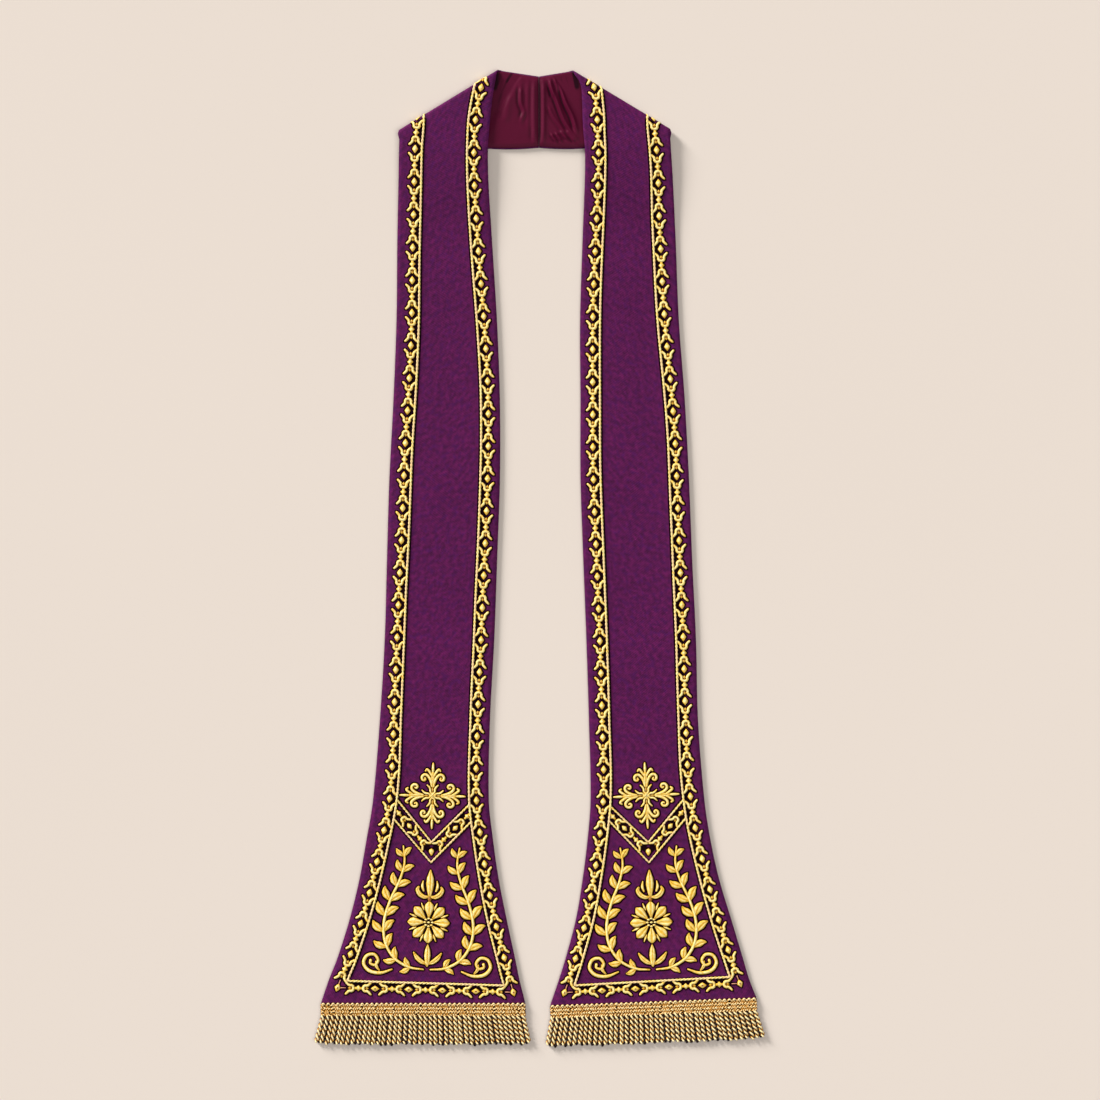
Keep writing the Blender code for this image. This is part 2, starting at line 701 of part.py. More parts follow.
def branch_outline(half, origin, mirror):
    """Outline of a leafy branch: up one side of the stem with its leaves, round the tip and back."""
    controls = [half.placed(origin, u * mirror, v) for u, v in BRANCH_ROUTE]
    route = Route(curve_through(controls, BRANCH_CURVE_STEPS))
    pitch = route.length / (BRANCH_LEAVES - 1 + BRANCH_BARE_FOOT + BRANCH_BARE_TIP)
    sides = []
    for sign in (1, -1):
        line = []
        for leaf in range(BRANCH_LEAVES):
            at = pitch * (leaf + BRANCH_BARE_FOOT)
            before = at - pitch / 2 if leaf else 0.0
            normal = route.normal(at)
            along = Vector((normal.y, -normal.x))
            edge = route.at(at) + normal * sign * BRANCH_HALF_WIDTH
            back, tip, front = leaf_corners(route.at(at), along, normal, sign)
            line.append(route.at(before) + route.normal(before) * sign * BRANCH_HALF_WIDTH)
            line += [edge - along * LEAF_FOOT, back, tip, front, edge + along * LEAF_FOOT]
        sides.append(line)
    return [*sides[0], route.at(route.length), *reversed(sides[1])]


def tendril(half, origin, mirror):
    """Curled tendril in a lower corner of the end panel."""
    controls = [half.placed(origin, u * mirror, v) for u, v in TENDRIL_ROUTE]
    points = curve_through(controls, TENDRIL_CURVE_STEPS)
    route = Route(points)
    last = len(TENDRIL_HALF_WIDTHS) - 1
    widths = []
    for k in range(len(points)):
        mark = k / TENDRIL_CURVE_STEPS
        i = min(int(mark), last - 1)
        low, high = TENDRIL_HALF_WIDTHS[i], TENDRIL_HALF_WIDTHS[i + 1]
        widths.append(low + (high - low) * (mark - i))
    normals = [route.normal(distance, 0.5) for distance in route.marks]
    return ridge(half, points, normals, widths, ORNAMENT_HEIGHT)


def spray_outline(half, origin, half_outline):
    right = [half.placed(origin, u, v) for u, v in half_outline]
    left = [half.placed(origin, -u, v) for u, v in reversed(half_outline[1:-1])]
    return right + left


def fringe(half):
    """Heading braid and strands of one hem: the strands grow out of the braid's lower side."""
    outer, inner = half.hem_corner("outer"), half.hem_corner("inner")
    along = (inner - outer).normalized()
    down = Vector((along.y, -along.x)) * -half.side
    width = (inner - outer).length
    pitch = width / STRANDS
    tops = (FRINGE_TOP_Z, FRINGE_BOTTOM_Z)
    middle_z = sum(tops) / 2
    built = bmesh.new()

    def corner_pair(across, below):
        point = outer + along * across + down * below
        return [built.verts.new((*point, z)) for z in tops]

    upper = [corner_pair(0.0, SEAM_GAP), corner_pair(width, SEAM_GAP)]
    lower = []
    for strand in range(STRANDS):
        margin = pitch * (1 - STRAND_FILL) / 2
        lower.append(corner_pair(strand * pitch + margin, HEADING_HEIGHT))
        lower.append(corner_pair((strand + 1) * pitch - margin, HEADING_HEIGHT))
    border = [upper[0], *lower, upper[1]]
    built.faces.new([pair[0] for pair in border])
    built.faces.new([pair[1] for pair in reversed(border)])
    outside = [(upper[1], upper[0]), (upper[0], lower[0]), (lower[-1], upper[1])]
    between = list(zip(lower[1:-1:2], lower[2::2]))
    for a, b in outside + between:
        built.faces.new((a[0], a[1], b[1], b[0]))
    for strand in range(STRANDS):
        fraction = (strand + 0.5) / STRANDS
        splay = -SPLAY_OUTER * (1 - fraction) ** 2 + SPLAY_INNER * fraction**2
        uneven = STRAND_UNEVEN * (1 + math.sin(strand * STRAND_UNEVEN_TURN))
        length = FRINGE_HEIGHT - HEADING_HEIGHT - uneven
        left, right = lower[2 * strand], lower[2 * strand + 1]
        ring = [left[0], right[0], right[1], left[1]]
        for k in range(1, STRAND_STEPS + 1):
            f = k / STRAND_STEPS
            sway = STRAND_SWAY * math.sin(strand * STRAND_SWAY_TURN + k * STRAND_SWAY_RISE)
            centre = (strand + 0.5) * pitch + splay * f + sway
            half_width = pitch * STRAND_FILL / 2 * (1 + (STRAND_TIP_WIDTH - 1) * f)
            half_height = (tops[0] - tops[1]) / 2 * (1 + (STRAND_TIP_THICKNESS - 1) * f)
            next_ring = []
            for side, level in ((-1, 1), (1, 1), (1, -1), (-1, -1)):
                point = outer + along * (centre + side * half_width) + down * (HEADING_HEIGHT + length * f)
                next_ring.append(built.verts.new((*point, middle_z + level * half_height)))
            for i in range(4):
                j = (i + 1) % 4
                built.faces.new((ring[i], ring[j], next_ring[j], next_ring[i]))
            ring = next_ring
        built.faces.new(ring)
    return built


def build_half(half, materials, collection):
    def add(piece, built, material):
        add_solid(f"{half.name}_{piece}", built, materials[material], collection)

    for layer in LAYERS:
        pieces = (f"{layer.name}_end", layer.name, f"{layer.name}_neck")
        for piece, built in zip(pieces, cloth_walls(half, layer)):
            add(piece, built, layer.material)
    add("fringe", fringe(half), "fringe_thread")
    add("cord_frame", cord_frame(half), "gold_thread")
    for edge in ("outer", "inner"):
        add(f"border_{edge}", side_chain(half, edge), "gold_thread")
    add("border_hem", hem_chain(half), "gold_thread")

    upper, lower = [row for row in V_CORDS if row.half == half.name]
    for row in (upper, lower):
        points = v_points(half, row, V_CORD_END_GAP)
        add(f"v_cord_{row.name}", cord(half, points, V_CORD_HALF_WIDTH), "gold_thread")
    add("v_chain", v_chain(half, upper, lower), "gold_thread")

    flat = LEG_CORE_Z + STITCH_BASE
    raised = flat + ORNAMENT_HEIGHT
    place = next(row for row in CROSSES if row.half == half.name)
    add("cross", plate(cross_outline(place), flat, raised), "gold_thread")
    origin = Vector((lower.apex_x, lower.apex_y))
    add("rosette", plate(rosette_outline(half, origin), flat, raised), "gold_thread")
    add("trefoil", plate(spray_outline(half, origin, TREFOIL), flat, raised), "gold_thread")
    add("bud", plate(spray_outline(half, origin, BUD), flat, raised), "gold_thread")
    for mirror, edge in ((half.side, "outer"), (-half.side, "inner")):
        add(f"branch_{edge}", plate(branch_outline(half, origin, mirror), flat, raised), "gold_thread")
        add(f"tendril_{edge}", tendril(half, origin, mirror), "gold_thread")


def main():
    clear_scene()
    collection = bpy.data.collections.new("clerical_stole")
    bpy.context.scene.collection.children.link(collection)
    materials = {name: make_material(name) for name in FINISHES}
    for sizes in HALVES:
        build_half(Half(sizes), materials, collection)


main()
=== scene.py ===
"""Clerical stole laid flat: purple cloth legs with gold needlework, lined neck part and twisted fringe.

Tables and plans are in millimetres, in the plan of the part: +Y runs from the hems to the neck, +X to
the right as seen from above. Meshes are in metres. Each operator makes one kind of piece for both halves.
"""

import json
import math
from collections import namedtuple
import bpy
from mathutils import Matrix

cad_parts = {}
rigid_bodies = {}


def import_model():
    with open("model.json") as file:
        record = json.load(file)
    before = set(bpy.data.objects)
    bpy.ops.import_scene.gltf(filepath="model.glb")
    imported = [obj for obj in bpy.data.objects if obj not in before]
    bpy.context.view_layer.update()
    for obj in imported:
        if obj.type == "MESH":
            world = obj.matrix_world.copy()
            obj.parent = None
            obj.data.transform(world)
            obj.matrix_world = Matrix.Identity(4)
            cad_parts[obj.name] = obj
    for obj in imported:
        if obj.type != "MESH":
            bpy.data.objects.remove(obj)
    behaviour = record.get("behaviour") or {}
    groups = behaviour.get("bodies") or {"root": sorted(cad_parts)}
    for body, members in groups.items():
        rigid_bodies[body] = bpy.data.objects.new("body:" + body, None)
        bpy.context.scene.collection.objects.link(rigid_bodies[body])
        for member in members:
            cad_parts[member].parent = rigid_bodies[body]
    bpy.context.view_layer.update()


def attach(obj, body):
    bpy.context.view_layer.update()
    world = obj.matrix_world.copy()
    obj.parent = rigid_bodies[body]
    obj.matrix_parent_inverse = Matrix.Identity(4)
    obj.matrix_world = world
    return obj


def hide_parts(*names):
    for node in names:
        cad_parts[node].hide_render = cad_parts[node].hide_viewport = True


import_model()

from types import SimpleNamespace

import bmesh
import bpy
import numpy as np
from bpy.props import FloatProperty, FloatVectorProperty, IntProperty, PointerProperty
from mathutils import Vector

bl_info = {
    "name": "Clerical stole",
    "version": (1, 0, 0),
    "blender": (4, 5, 0),
    "location": "View3D > Sidebar > Stole",
    "description": "Makes the cloth, needlework and fringe of a clerical stole that lies flat",
    "category": "Object",
}

MM = 0.001
EDGES = ("outer", "inner")

# Layers of cloth, measured out from the core of the shoulder fold, and the fold itself.
FACE_INNER = 2.1
FACE_OUTER = 3.6
LINING_INNER = 0.8
LINING_OUTER = 1.8
FOLD_AXIS_Z = 3.6
LEG_CORE_Z = -0.8
SLOPE_LENGTH = 125.0
FOLD_SHEAR = 8.0

# The four sides of the legs at a height on the plan: their edges, and how far the border beside each
# strays to the right of its even course.
Sides = namedtuple("Sides", "y left_outer left_inner right_inner right_outer")
LEG_EDGES = (
    Sides(-495.0, -240.5, -12.5, 12.5, 245.0),
    Sides(-464.0, -230.1, -20.4, 23.0, 232.6),
    Sides(-442.0, -221.3, -24.9, 29.9, 226.0),
    Sides(-398.0, -207.4, -34.4, 41.6, 212.8),
    Sides(-354.0, -196.6, -43.1, 49.0, 199.5),
    Sides(-310.0, -188.7, -49.5, 54.5, 189.8),
    Sides(-266.0, -181.5, -54.1, 57.8, 183.1),
    Sides(-178.0, -174.0, -52.8, 56.0, 176.1),
    Sides(-90.0, -168.7, -48.1, 53.2, 173.9),
    Sides(-2.0, -166.2, -44.9, 49.8, 169.7),
    Sides(86.0, -163.6, -41.9, 46.8, 166.2),
    Sides(174.0, -159.1, -41.9, 46.7, 161.5),
    Sides(262.0, -155.7, -45.2, 46.3, 155.0),
    Sides(350.0, -154.8, -50.6, 49.0, 151.5),
    Sides(416.0, -153.4, -54.5, 51.4, 148.3),
    Sides(449.0, -152.8, -54.9, 51.5, 146.2),
    Sides(471.0, -152.0, -53.5, 49.6, 145.0),
    Sides(500.0, -151.6, -50.6, 48.4, 144.6),
    Sides(520.0, -151.3, -47.7, 46.8, 144.3),
    Sides(537.0, -151.0, -44.0, 38.5, 144.0),
)
# Pairs of a half's sizes are for its outer and its inner side; the border rises from the hem by border_rise.
HalfSizes = namedtuple("HalfSizes", "name side hem_y fold_outer fold_inner knee_y turn border_rise")
HALVES = (
    HalfSizes("left", -1, (-489.5, -489.5), (-152.5, 471.0), (-44.0, 537.0), 450.5, -2.2, (1.9, -3.2)),
    HalfSizes("right", 1, (-483.6, -492.0), (145.0, 472.2), (38.5, 536.3), 453.5, 2.2, (1.4, -1.6)),
)
CENTRE_BACK_X = 1.0
CENTRE_BACK_TOP_Y = 530.0
CENTRE_BACK_LOW_Y = 451.5
NECK_LOW_BULGE = 8.5
LINING_SETBACK = 1.4
SEAM_GAP = 0.3
EDGE_ROUND = 0.6


class Layer(namedtuple("Layer", "name inner outer setback leg_step columns fold_steps neck_steps")):
    """A cloth layer and its grid: row spacing on the leg, columns, rows over the fold and along the neck."""

    @property
    def middle(self):
        return (self.inner + self.outer) / 2


FACE = Layer("face", FACE_INNER, FACE_OUTER, 0.0, 6.0, 30, 14, 24)
LINING = Layer("lining", LINING_INNER, LINING_OUTER, LINING_SETBACK, 10.0, 72, 10, 120)
RIPPLE_HEIGHT = 0.28
# Distance in which the ripple fades to each side, to the fold and to the hem.
RIPPLE_FADES = (20.0, 60.0, 30.0)
# Lengths that its waves take across and along the leg, and how far and how slowly they wander.
RIPPLE_WAVES = (23.0, 37.0)
RIPPLE_WANDER = (1.3, 61.0)

# Creases of the neck lining: line, height of its ridge (below zero for a trough) and half width. The satin
# paints shade into their hollows and troughs.
Crease = namedtuple("Crease", "line height spread")
CREASES = (
    Crease(((-23.0, 533.5), (-27.0, 526.0), (-31.0, 519.0)), 1.3, 2.6),
    Crease(((-18.7, 520.0), (-18.7, 501.6), (-15.4, 490.6), (-18.2, 480.0)), 0.95, 2.2),
    Crease(((-30.0, 512.0), (-33.0, 495.0), (-36.0, 478.0)), 0.4, 4.0),
    Crease(((-9.5, 528.0), (-10.5, 500.0), (-8.5, 470.0)), 0.4, 3.2),
    Crease(((-4.0, 529.0), (-4.4, 490.0), (-3.6, 453.0)), 0.75, 2.4),
    Crease(((6.0, 529.0), (6.4, 490.0), (6.0, 453.0)), 0.85, 2.2),
    Crease(((13.0, 527.0), (15.0, 515.0), (17.0, 505.0)), 0.7, 1.8),
    Crease(((18.0, 528.0), (20.5, 520.0), (22.5, 512.0)), 0.7, 1.6),
    Crease(((20.9, 528.0), (26.4, 515.9), (30.8, 500.5), (38.5, 484.0), (44.0, 463.0)), 1.3, 2.3),
    Crease(((11.0, 525.8), (18.7, 508.2), (28.6, 481.8), (38.5, 466.4), (46.2, 454.3)), 1.15, 2.1),
    Crease(((10.5, 500.0), (17.0, 485.0), (25.0, 474.0), (33.0, 464.0)), 0.6, 1.8),
    Crease(((28.0, 524.0), (33.0, 512.0), (37.0, 500.0)), 0.6, 2.0),
    Crease(((14.0, 467.0), (17.0, 462.0), (20.8, 457.4)), 0.95, 1.2),
    Crease(((19.0, 468.0), (22.4, 463.0), (26.0, 458.3)), 1.0, 1.2),
    Crease(((24.0, 470.0), (28.6, 464.5), (32.5, 460.0)), 1.0, 1.3),
    Crease(((30.8, 471.0), (36.0, 463.5), (41.0, 457.0)), 1.0, 1.4),
    Crease(((-44.0, 537.0), (-45.5, 527.0), (-48.0, 512.0)), -0.85, 2.6),
    Crease(((-27.0, 532.0), (-31.5, 522.0), (-37.0, 508.0), (-41.0, 494.0)), 0.6, 2.2),
    Crease(((-36.0, 533.0), (-38.5, 526.0), (-42.0, 517.0)), 0.55, 1.9),
    Crease(((39.0, 538.0), (41.0, 527.0), (43.5, 514.0)), -1.15, 3.1),
    Crease(((33.5, 533.0), (35.0, 526.0), (38.0, 517.0)), 0.8, 1.9),
    Crease(((27.5, 532.0), (29.5, 524.0), (33.0, 515.0)), 0.65, 1.6),
)
# Their depth in all and level, lowest point, and where they fade: at the rim and at both ends of each.
CREASE_DEPTH = 1.8
CREASE_LEVEL = 0.9
CREASE_LOWEST = -0.2
CREASE_RIM = 5.0
CREASE_TAPER = 0.22
# Share of the neck part before the first crease, and share over which they rise to their full height.
CREASE_START = 0.5
CREASE_RISE = 0.1
# Share of a ridge's height that is left at its ends; the hollow beside it: place, narrowness and depth.
CREASE_ENDS = 0.15
CREASE_HOLLOW = (1.7, 1.4, 0.55)
CREASE_STEPS = 4
# Depth of a crease's hollow at which the satin's painted shade in it is full.
HOLLOW_SHADE = 1.5
SEAM_ENDS = 1.6
SEAM_REACH = 0.45
SEAM_STITCHES = 44
SEAM_WIDTHS = (0.5, 0.62, 0.5)
SEAM_HEIGHT = 0.55
SEAM_Z = 2.4
SEAM_TROUGH = 1.0
SEAM_TROUGH_SPREAD = 1.3

# Gold cord and border chain: distance in from the cloth's edge.
InsetRow = namedtuple("InsetRow", "y chain cord")
INSETS = (
    InsetRow(-495.0, 11.2, 19.3),
    InsetRow(-376.0, 13.8, 22.0),
    InsetRow(-266.0, 14.2, 22.2),
    InsetRow(-178.0, 13.4, 21.2),
    InsetRow(262.0, 13.6, 21.5),
    InsetRow(449.0, 15.1, 22.6),
    InsetRow(483.0, 16.0, 23.7),
    InsetRow(519.0, 14.1, 21.7),
    InsetRow(540.0, 13.0, 20.4),
)
BORDER_DRIFTS = (
    Sides(-470.0, 0.9, 1.5, -0.8, 0.0),
    Sides(-410.0, 0.2, 0.4, -2.1, -0.8),
    Sides(-350.0, 1.0, 1.2, -1.9, 1.0),
    Sides(-290.0, 3.6, 0.9, -0.8, -0.3),
    Sides(-230.0, 3.8, 0.2, 0.8, -1.2),
    Sides(-170.0, 1.8, -0.2, 1.3, -0.1),
    Sides(-110.0, 0.5, -1.0, 1.5, -0.6),
    Sides(-50.0, 0.6, -1.2, 1.5, -0.6),
    Sides(10.0, 2.0, -0.5, 1.4, -0.2),
    Sides(70.0, 2.7, -0.4, 1.1, -0.3),
    Sides(130.0, 2.4, 0.3, 0.4, 0.2),
    Sides(190.0, 3.1, 0.5, 0.2, -0.7),
    Sides(250.0, 3.3, -0.4, 0.5, -1.8),
    Sides(310.0, 3.0, -1.4, 0.3, -2.7),
    Sides(370.0, 3.1, -1.5, 0.4, -2.8),
    Sides(430.0, 2.7, -0.5, 0.0, -1.0),
    Sides(480.0, 2.7, 0.0, 0.0, -1.0),
)
HEM_INSETS = {"chain": 15.0, "cord": 22.5}
SETTLING_ROUNDS = 6
# A side's repeat, and by how much its middle is drawn down towards the hem.
SidePitch = namedtuple("SidePitch", "pitch sag")
SIDE_PITCHES = {
    ("left", "outer"): SidePitch(35.65, 3.0),
    ("left", "inner"): SidePitch(35.56, 4.0),
    ("right", "inner"): SidePitch(35.59, 4.5),
    ("right", "outer"): SidePitch(35.42, 5.5),
}
CORNER_LINK = 4.4
HEM_UNITS = 5
LINE_STEP = 6.0
# How far cords and motifs go on past the fold's crest, and the share of their height that is left there.
PAST_FOLD_CORD = 4.6
PAST_FOLD_MOTIF = 8.2
PRESSED_SHARE = 0.06
# Painted shade between chain and cord, laid as a band of the dark outline thread: points along it, half
# width, gap at the corners, share of height.
SHADE_BAND_STEPS = 170
SHADE_BAND_REACH = 1.9
SHADE_BAND_GAP = 5.5
SHADE_BAND_LEVEL = 0.9
STITCH_FOOT = -0.1
TIP_REACH = 0.7
TIP_LEVEL = 0.2

# V band above the end panel: its upper and lower line, by their heights at the side cords and their apex.
VLine = namedtuple("VLine", "ends_y apex")
V_LINES = {
    "left": (VLine((-265.4, -271.2), (-117.2, -312.6)), VLine((-286.7, -290.0), (-117.7, -334.8))),
    "right": (VLine((-265.6, -273.1), (121.4, -312.7)), VLine((-285.5, -288.9), (122.1, -334.8))),
}
# Its motifs out from the apex: distance, flip and size.
V_MOTIFS = (
    ("tulip", 3.9, 0.0, 0.9),
    ("diamond", 37.5, 0.0, 0.82),
    ("tulip", 37.5, 0.0, 0.9),
    ("tulip", 37.5, math.pi, 0.9),
    ("bead", 19.6, 0.0, 0.9),
    ("bead", 55.8, 0.0, 0.9),
)
V_BUD_LEVELS = (2.6, 0.4, -3.2)
V_BUD_WIDTHS = (2.7, 3.0, 0.9)
V_CORD_PLY = 0.88
# Band of painted shade between the V lines: half width, and gap at its ends.
V_SHADE_BAND_REACH = 3.4
V_SHADE_BAND_GAP = 5.0

CrossPlace = namedtuple("CrossPlace", "x y turn size")
CROSSES = {"left": CrossPlace(-116.0, -261.6, -1.3, 1.05), "right": CrossPlace(119.1, -261.3, 2.8, 1.05)}

# Cross sections of a raised stroke: place across, from -1 to 1, and share of its height.
LOW = ((-1.0, 0.0), (-0.72, 0.82), (0.0, 1.0), (0.72, 0.82), (1.0, 0.0))
ROUND = ((-1.0, 0.0), (-0.82, 0.58), (-0.42, 0.92), (0.0, 1.0), (0.42, 0.92), (0.82, 0.58), (1.0, 0.0))
SPLIT = ((-1.0, 0.0), (-0.8, 0.7), (-0.4, 1.0), (0.0, 0.42), (0.4, 1.0), (0.8, 0.7), (1.0, 0.0))

# A stroke of satin stitch: its line, half widths at the line's points, section and tone
# (-1 cream, 0 gold, 0.5 amber, 1 rose).
Stroke = namedtuple("Stroke", "line widths section tone height", defaults=(ROUND, 0.0, 1.0))


def axial(stations, *rest):
    """A stroke along its frame's first axis."""
    return Stroke([(x, 0) for x in stations], *rest)


def upright(stations, *rest):
    """A stroke along its frame's second axis."""
    return Stroke([(0, y) for y in stations], *rest)


# Motifs of the border, in their own frame: x along the border away from the diamond's middle.
DIAMOND = (axial((-4.3, -2.2, 0, 2.2, 4.3), (0.45, 2.3, 3.6, 2.3, 0.45), LOW),)
DIAMOND_EYE = axial((-1.7, 0, 1.7), (0.4, 1.35, 0.4), LOW, 0.55, 1.3)
TULIP_PETAL = ((4.4, -6.9), (5.3, -5.9), (6.5, -4.7), (7.8, -3.5), (9.3, -3.0), (11.0, -3.15), (12.5, -2.2))
TULIP_WIDTHS = (1.15, 1.4, 1.5, 1.6, 1.65, 1.7, 1.7)
TULIP = (
    Stroke(
        (*TULIP_PETAL, (13.2, 0.0), *((x, -y) for x, y in reversed(TULIP_PETAL))),
        (*TULIP_WIDTHS, 1.7, *reversed(TULIP_WIDTHS)),
        LOW,
    ),
    axial((7.3, 8.6, 9.8), (0.3, 1.7, 1.5), LOW, 0.25, 0.62),
    axial((9.3, 10.3, 11.3), (0.5, 1.1, 0.5), LOW, 0.6, 0.8),
)
TULIP_MIDDLE = 9.5
BEAD = (axial((-3.9, -2.1, 0, 2.1, 3.9), (1.6, 1.45, 3.8, 1.45, 1.6), LOW),)
CORNER_TIE = (axial((3.2, 6.0, 9.0), (0.5, 0.55, 0.5), LOW, 1.0, 0.6),)
MOTIFS = (
    ("diamond", DIAMOND),
    ("tulip", TULIP),
    ("bead", BEAD),
    ("eyed_diamond", (*DIAMOND, DIAMOND_EYE)),
    ("tie", CORNER_TIE),
)
KIND = {name: index for index, (name, _) in enumerate(MOTIFS)}
Place = namedtuple("Place", "at kind turn size")

# One arm of the flory cross, from the middle outwards; strokes off the axis are mirrored.
ARM_AXIS = (
    axial((-1.0, 1.0, 3.2), (1.5, 1.5, 0.9), ROUND, 0.0, 1.1),
    axial((4.2, 6.4, 8.6), (0.6, 1.3, 0.7), ROUND, 0.32, 0.8),
    axial((8.8, 12.5, 17.0, 21.0, 24.8), (1.2, 1.5, 2.0, 2.1, 1.3), SPLIT),
    axial((25.2, 28.2, 31.4, 34.4), (1.2, 1.6, 1.35, 0.9), ROUND, 0.0, 1.1),
)
ARM_SIDE = (
    Stroke(((1.6, 0.6), (4.4, 2.3), (7.0, 2.5), (9.0, 3.6), (11.3, 5.9)), (0.9, 1.15, 1.2, 1.2, 0.7)),
    Stroke(
        (
            (9.6, 0.8), (13.0, 1.5), (16.4, 2.5), (19.5, 4.2), (21.7, 6.6), (21.9, 9.3), (19.9, 11.4),
            (17.1, 11.2), (15.9, 9.3), (17.2, 7.7), (18.8, 8.5),
        ),
        (1.2, 1.4, 1.6, 1.65, 1.65, 1.6, 1.55, 1.5, 1.35, 1.2, 1.1),
    ),
    Stroke(((20.8, 1.2), (23.6, 2.7), (26.4, 4.7), (27.6, 6.4), (25.6, 8.0)), (1.2, 1.45, 1.5, 1.35, 1.0)),
)

# End ornament, in its own frame: u across from the panel's middle line, v up from the lower apex.
ROSETTE_CENTRE = (0.0, -66.0)
PETALS = 8
PETAL = axial((6.2, 9.5, 13.0, 16.5, 19.6, 22.0), (1.3, 2.7, 4.4, 5.4, 4.7, 2.2), SPLIT, 0.0, 1.25)
SEPAL = axial((14.5, 18.0, 22.8), (0.5, 1.25, 0.5))
KNOT_RING = 4.3
KNOTS = 8
KNOT = axial((-1.3, 0, 1.3), (0.7, 1.3, 0.7), ROUND, 0.0, 1.3)
BRANCH_ROUTE = (
    (3.5, -118.0), (20.0, -116.0), (37.0, -106.0), (47.5, -88.0), (49.0, -66.0), (43.0, -43.0),
    (34.0, -22.0), (29.0, -2.0), (31.0, 17.0),
)
STEM_WIDTHS = (0.9, 1.5, 1.7, 1.7, 1.7, 1.6, 1.5, 1.3, 0.9)
STEM_STEPS = 8
LEAF_SIZE = 0.82
LEAF_GROWTH = 0.34
LEAVES = {"pairs": 9, "angle": math.radians(42.0), "bare_foot": 0.09, "bare_tip": 0.07}
LEAF = Stroke(
    ((1.0, 0.0), (3.8, 0.6), (7.0, 1.1), (10.2, 1.1), (13.0, 0.4), (15.2, -0.7)),
    (0.9, 2.6, 3.9, 3.6, 2.1, 0.6),
    SPLIT,
)
TENDRIL = Stroke(
    (
        (38.0, -119.0), (51.0, -123.5), (63.5, -121.5), (69.8, -113.5), (66.5, -105.0), (58.5, -103.5),
        (54.0, -109.5), (57.0, -115.0), (62.3, -113.6), (62.0, -109.4),
    ),
    (0.9, 1.8, 2.1, 2.0, 1.9, 1.8, 1.7, 1.6, 1.5, 1.7),
)
TENDRIL_LEAF = Stroke(((52.0, -121.0), (55.5, -116.5), (56.5, -110.5)), (0.8, 1.9, 0.6), SPLIT)
TREFOIL_AXIS = (
    upright((-37.5, -31.0, -24.0, -17.0, -8.5), (1.6, 3.4, 4.6, 4.0, 0.8), SPLIT, 0.0, 1.2),
    upright((-42.5, -40.5, -38.0), (1.4, 2.3, 1.2), ROUND, 0.5),
)
TREFOIL_SIDE = (
    Stroke(
        ((1.4, -38.0), (6.0, -38.2), (10.8, -35.4), (13.6, -30.6), (12.2, -26.8)),
        (1.2, 2.3, 2.7, 2.3, 1.0),
        SPLIT,
    ),
    Stroke(((6.6, -32.0), (8.4, -26.5), (7.6, -20.5)), (1.0, 1.7, 0.6)),
)
BUD_AXIS = (upright((-114.5, -109.0, -102.0, -96.0, -90.5), (1.1, 2.9, 3.7, 2.9, 0.6), SPLIT, 0.0, 1.2),)
BUD_SIDE = (
    Stroke(((1.6, -111.5), (6.4, -109.4), (11.2, -105.4), (15.4, -99.4)), (1.3, 2.6, 2.7, 0.8), SPLIT),
)

# Twisted gold cord.
CORD_STEP = 1.05
CORD_SIDES = 6
CORD_TONE_LENGTH = 35.66
# How far its plies wind aside and up, and the height of its middle, in radii of a ply.
CORD_WINDING = (0.85, 0.5, 0.95)

# Fringe, measured down from the hem: heading braid, then strands, whose roots are fused in a backing strip.
HEADING_HEIGHT = 14.0
FRINGE_HEIGHT = 46.5
SPLAY_OUTER = 8.5
SPLAY_INNER = 7.0
ROOTS_BELOW = HEADING_HEIGHT - 0.6
ROOTS_Z = 2.35
STRAND_INSET = 2.4
STRAND_POINTS = 34
STRAND_SIDES = 7
# Height over which a strand's colour goes from painted shade to a painted highlight.
STRAND_CROWN = 2.0
# Shares of the length from which the plies close up, and at which they would meet; their winding's height.
STRAND_CLOSING = (0.9, 1.03)
STRAND_HEIGHT = 0.62
# Unevenness of the strands: lean in radians, jogs of the roots along, down and up, shares of the length.
STRAND_LEAN = 0.022
STRAND_JOGS = (0.4, 0.8, 0.12)
STRAND_SHARES = (0.95, 1.02)
# Rows of strands: how far their roots lie up, aside and along, shares of ply and twist, how many strands
# fewer, seed, and the height at which their crowns' shade begins.
StrandRow = namedtuple("StrandRow", "name material level aside shift ply twist fewer seed foot")
STRAND_ROWS = (
    StrandRow("strands", "twisted_fringe", 0.0, 0.0, 0.0, 1.0, 1.0, 0, 3, 2.3),
    StrandRow("strands_below", "fringe_shade", -0.5, 2.7, 0.4, 0.85, 0.9, 1, 11, 1.2),
)
BRAID_ROWS = (3.9, 7.8, 11.7)
BRAID_Z = 2.3
BRAID = {"period": 8.8, "amplitude": 2.3, "lift": 0.85, "thread_radius": 0.8, "step": 0.7, "uneven": 1.1}
BRAID_WANDER = 0.13
LOOP = Stroke(((-2.3, -2.2), (-1.6, -0.2), (0.0, 0.95), (1.6, -0.2), (2.3, -2.2)), (0.6, 0.9, 1.35, 0.9, 0.6))
LOOP_PITCH = 5.3
LOOP_DROP = 1.6
LOOP_TOP = 4.6
# Heights over which the heading's colour goes from painted shade to a painted highlight.
HEADING_CROWN = 1.9
HEADING_FOOT = 2.35
BACKING_TOP = 0.3
BACKING_LEVELS = (0.25, 1.7)
BACKING_ROUND = 0.4
BACKING_ROUND_STEPS = 2

# Threads of the materials: pitch of the twill in metres, and of satin stitch and fibres in millimetres.
TWILL_PITCH = 0.0026
STITCH_PITCH = 0.85
FIBRE_PITCH = 1.3
BLUER_SHARES = (0.62, 0.8, 1.05)

# Stage, in metres: floor, and the camera's square frame by its width and middle.
FLOOR_REACH = 6.0
FLOOR_Z = -0.0002
FRAME_WIDTH = 1.21
FRAME_CENTRE = (0.0132, 0.0088)
CAMERA_LIFT = 0.003
LENS = 85.0
SENSOR = 36.0
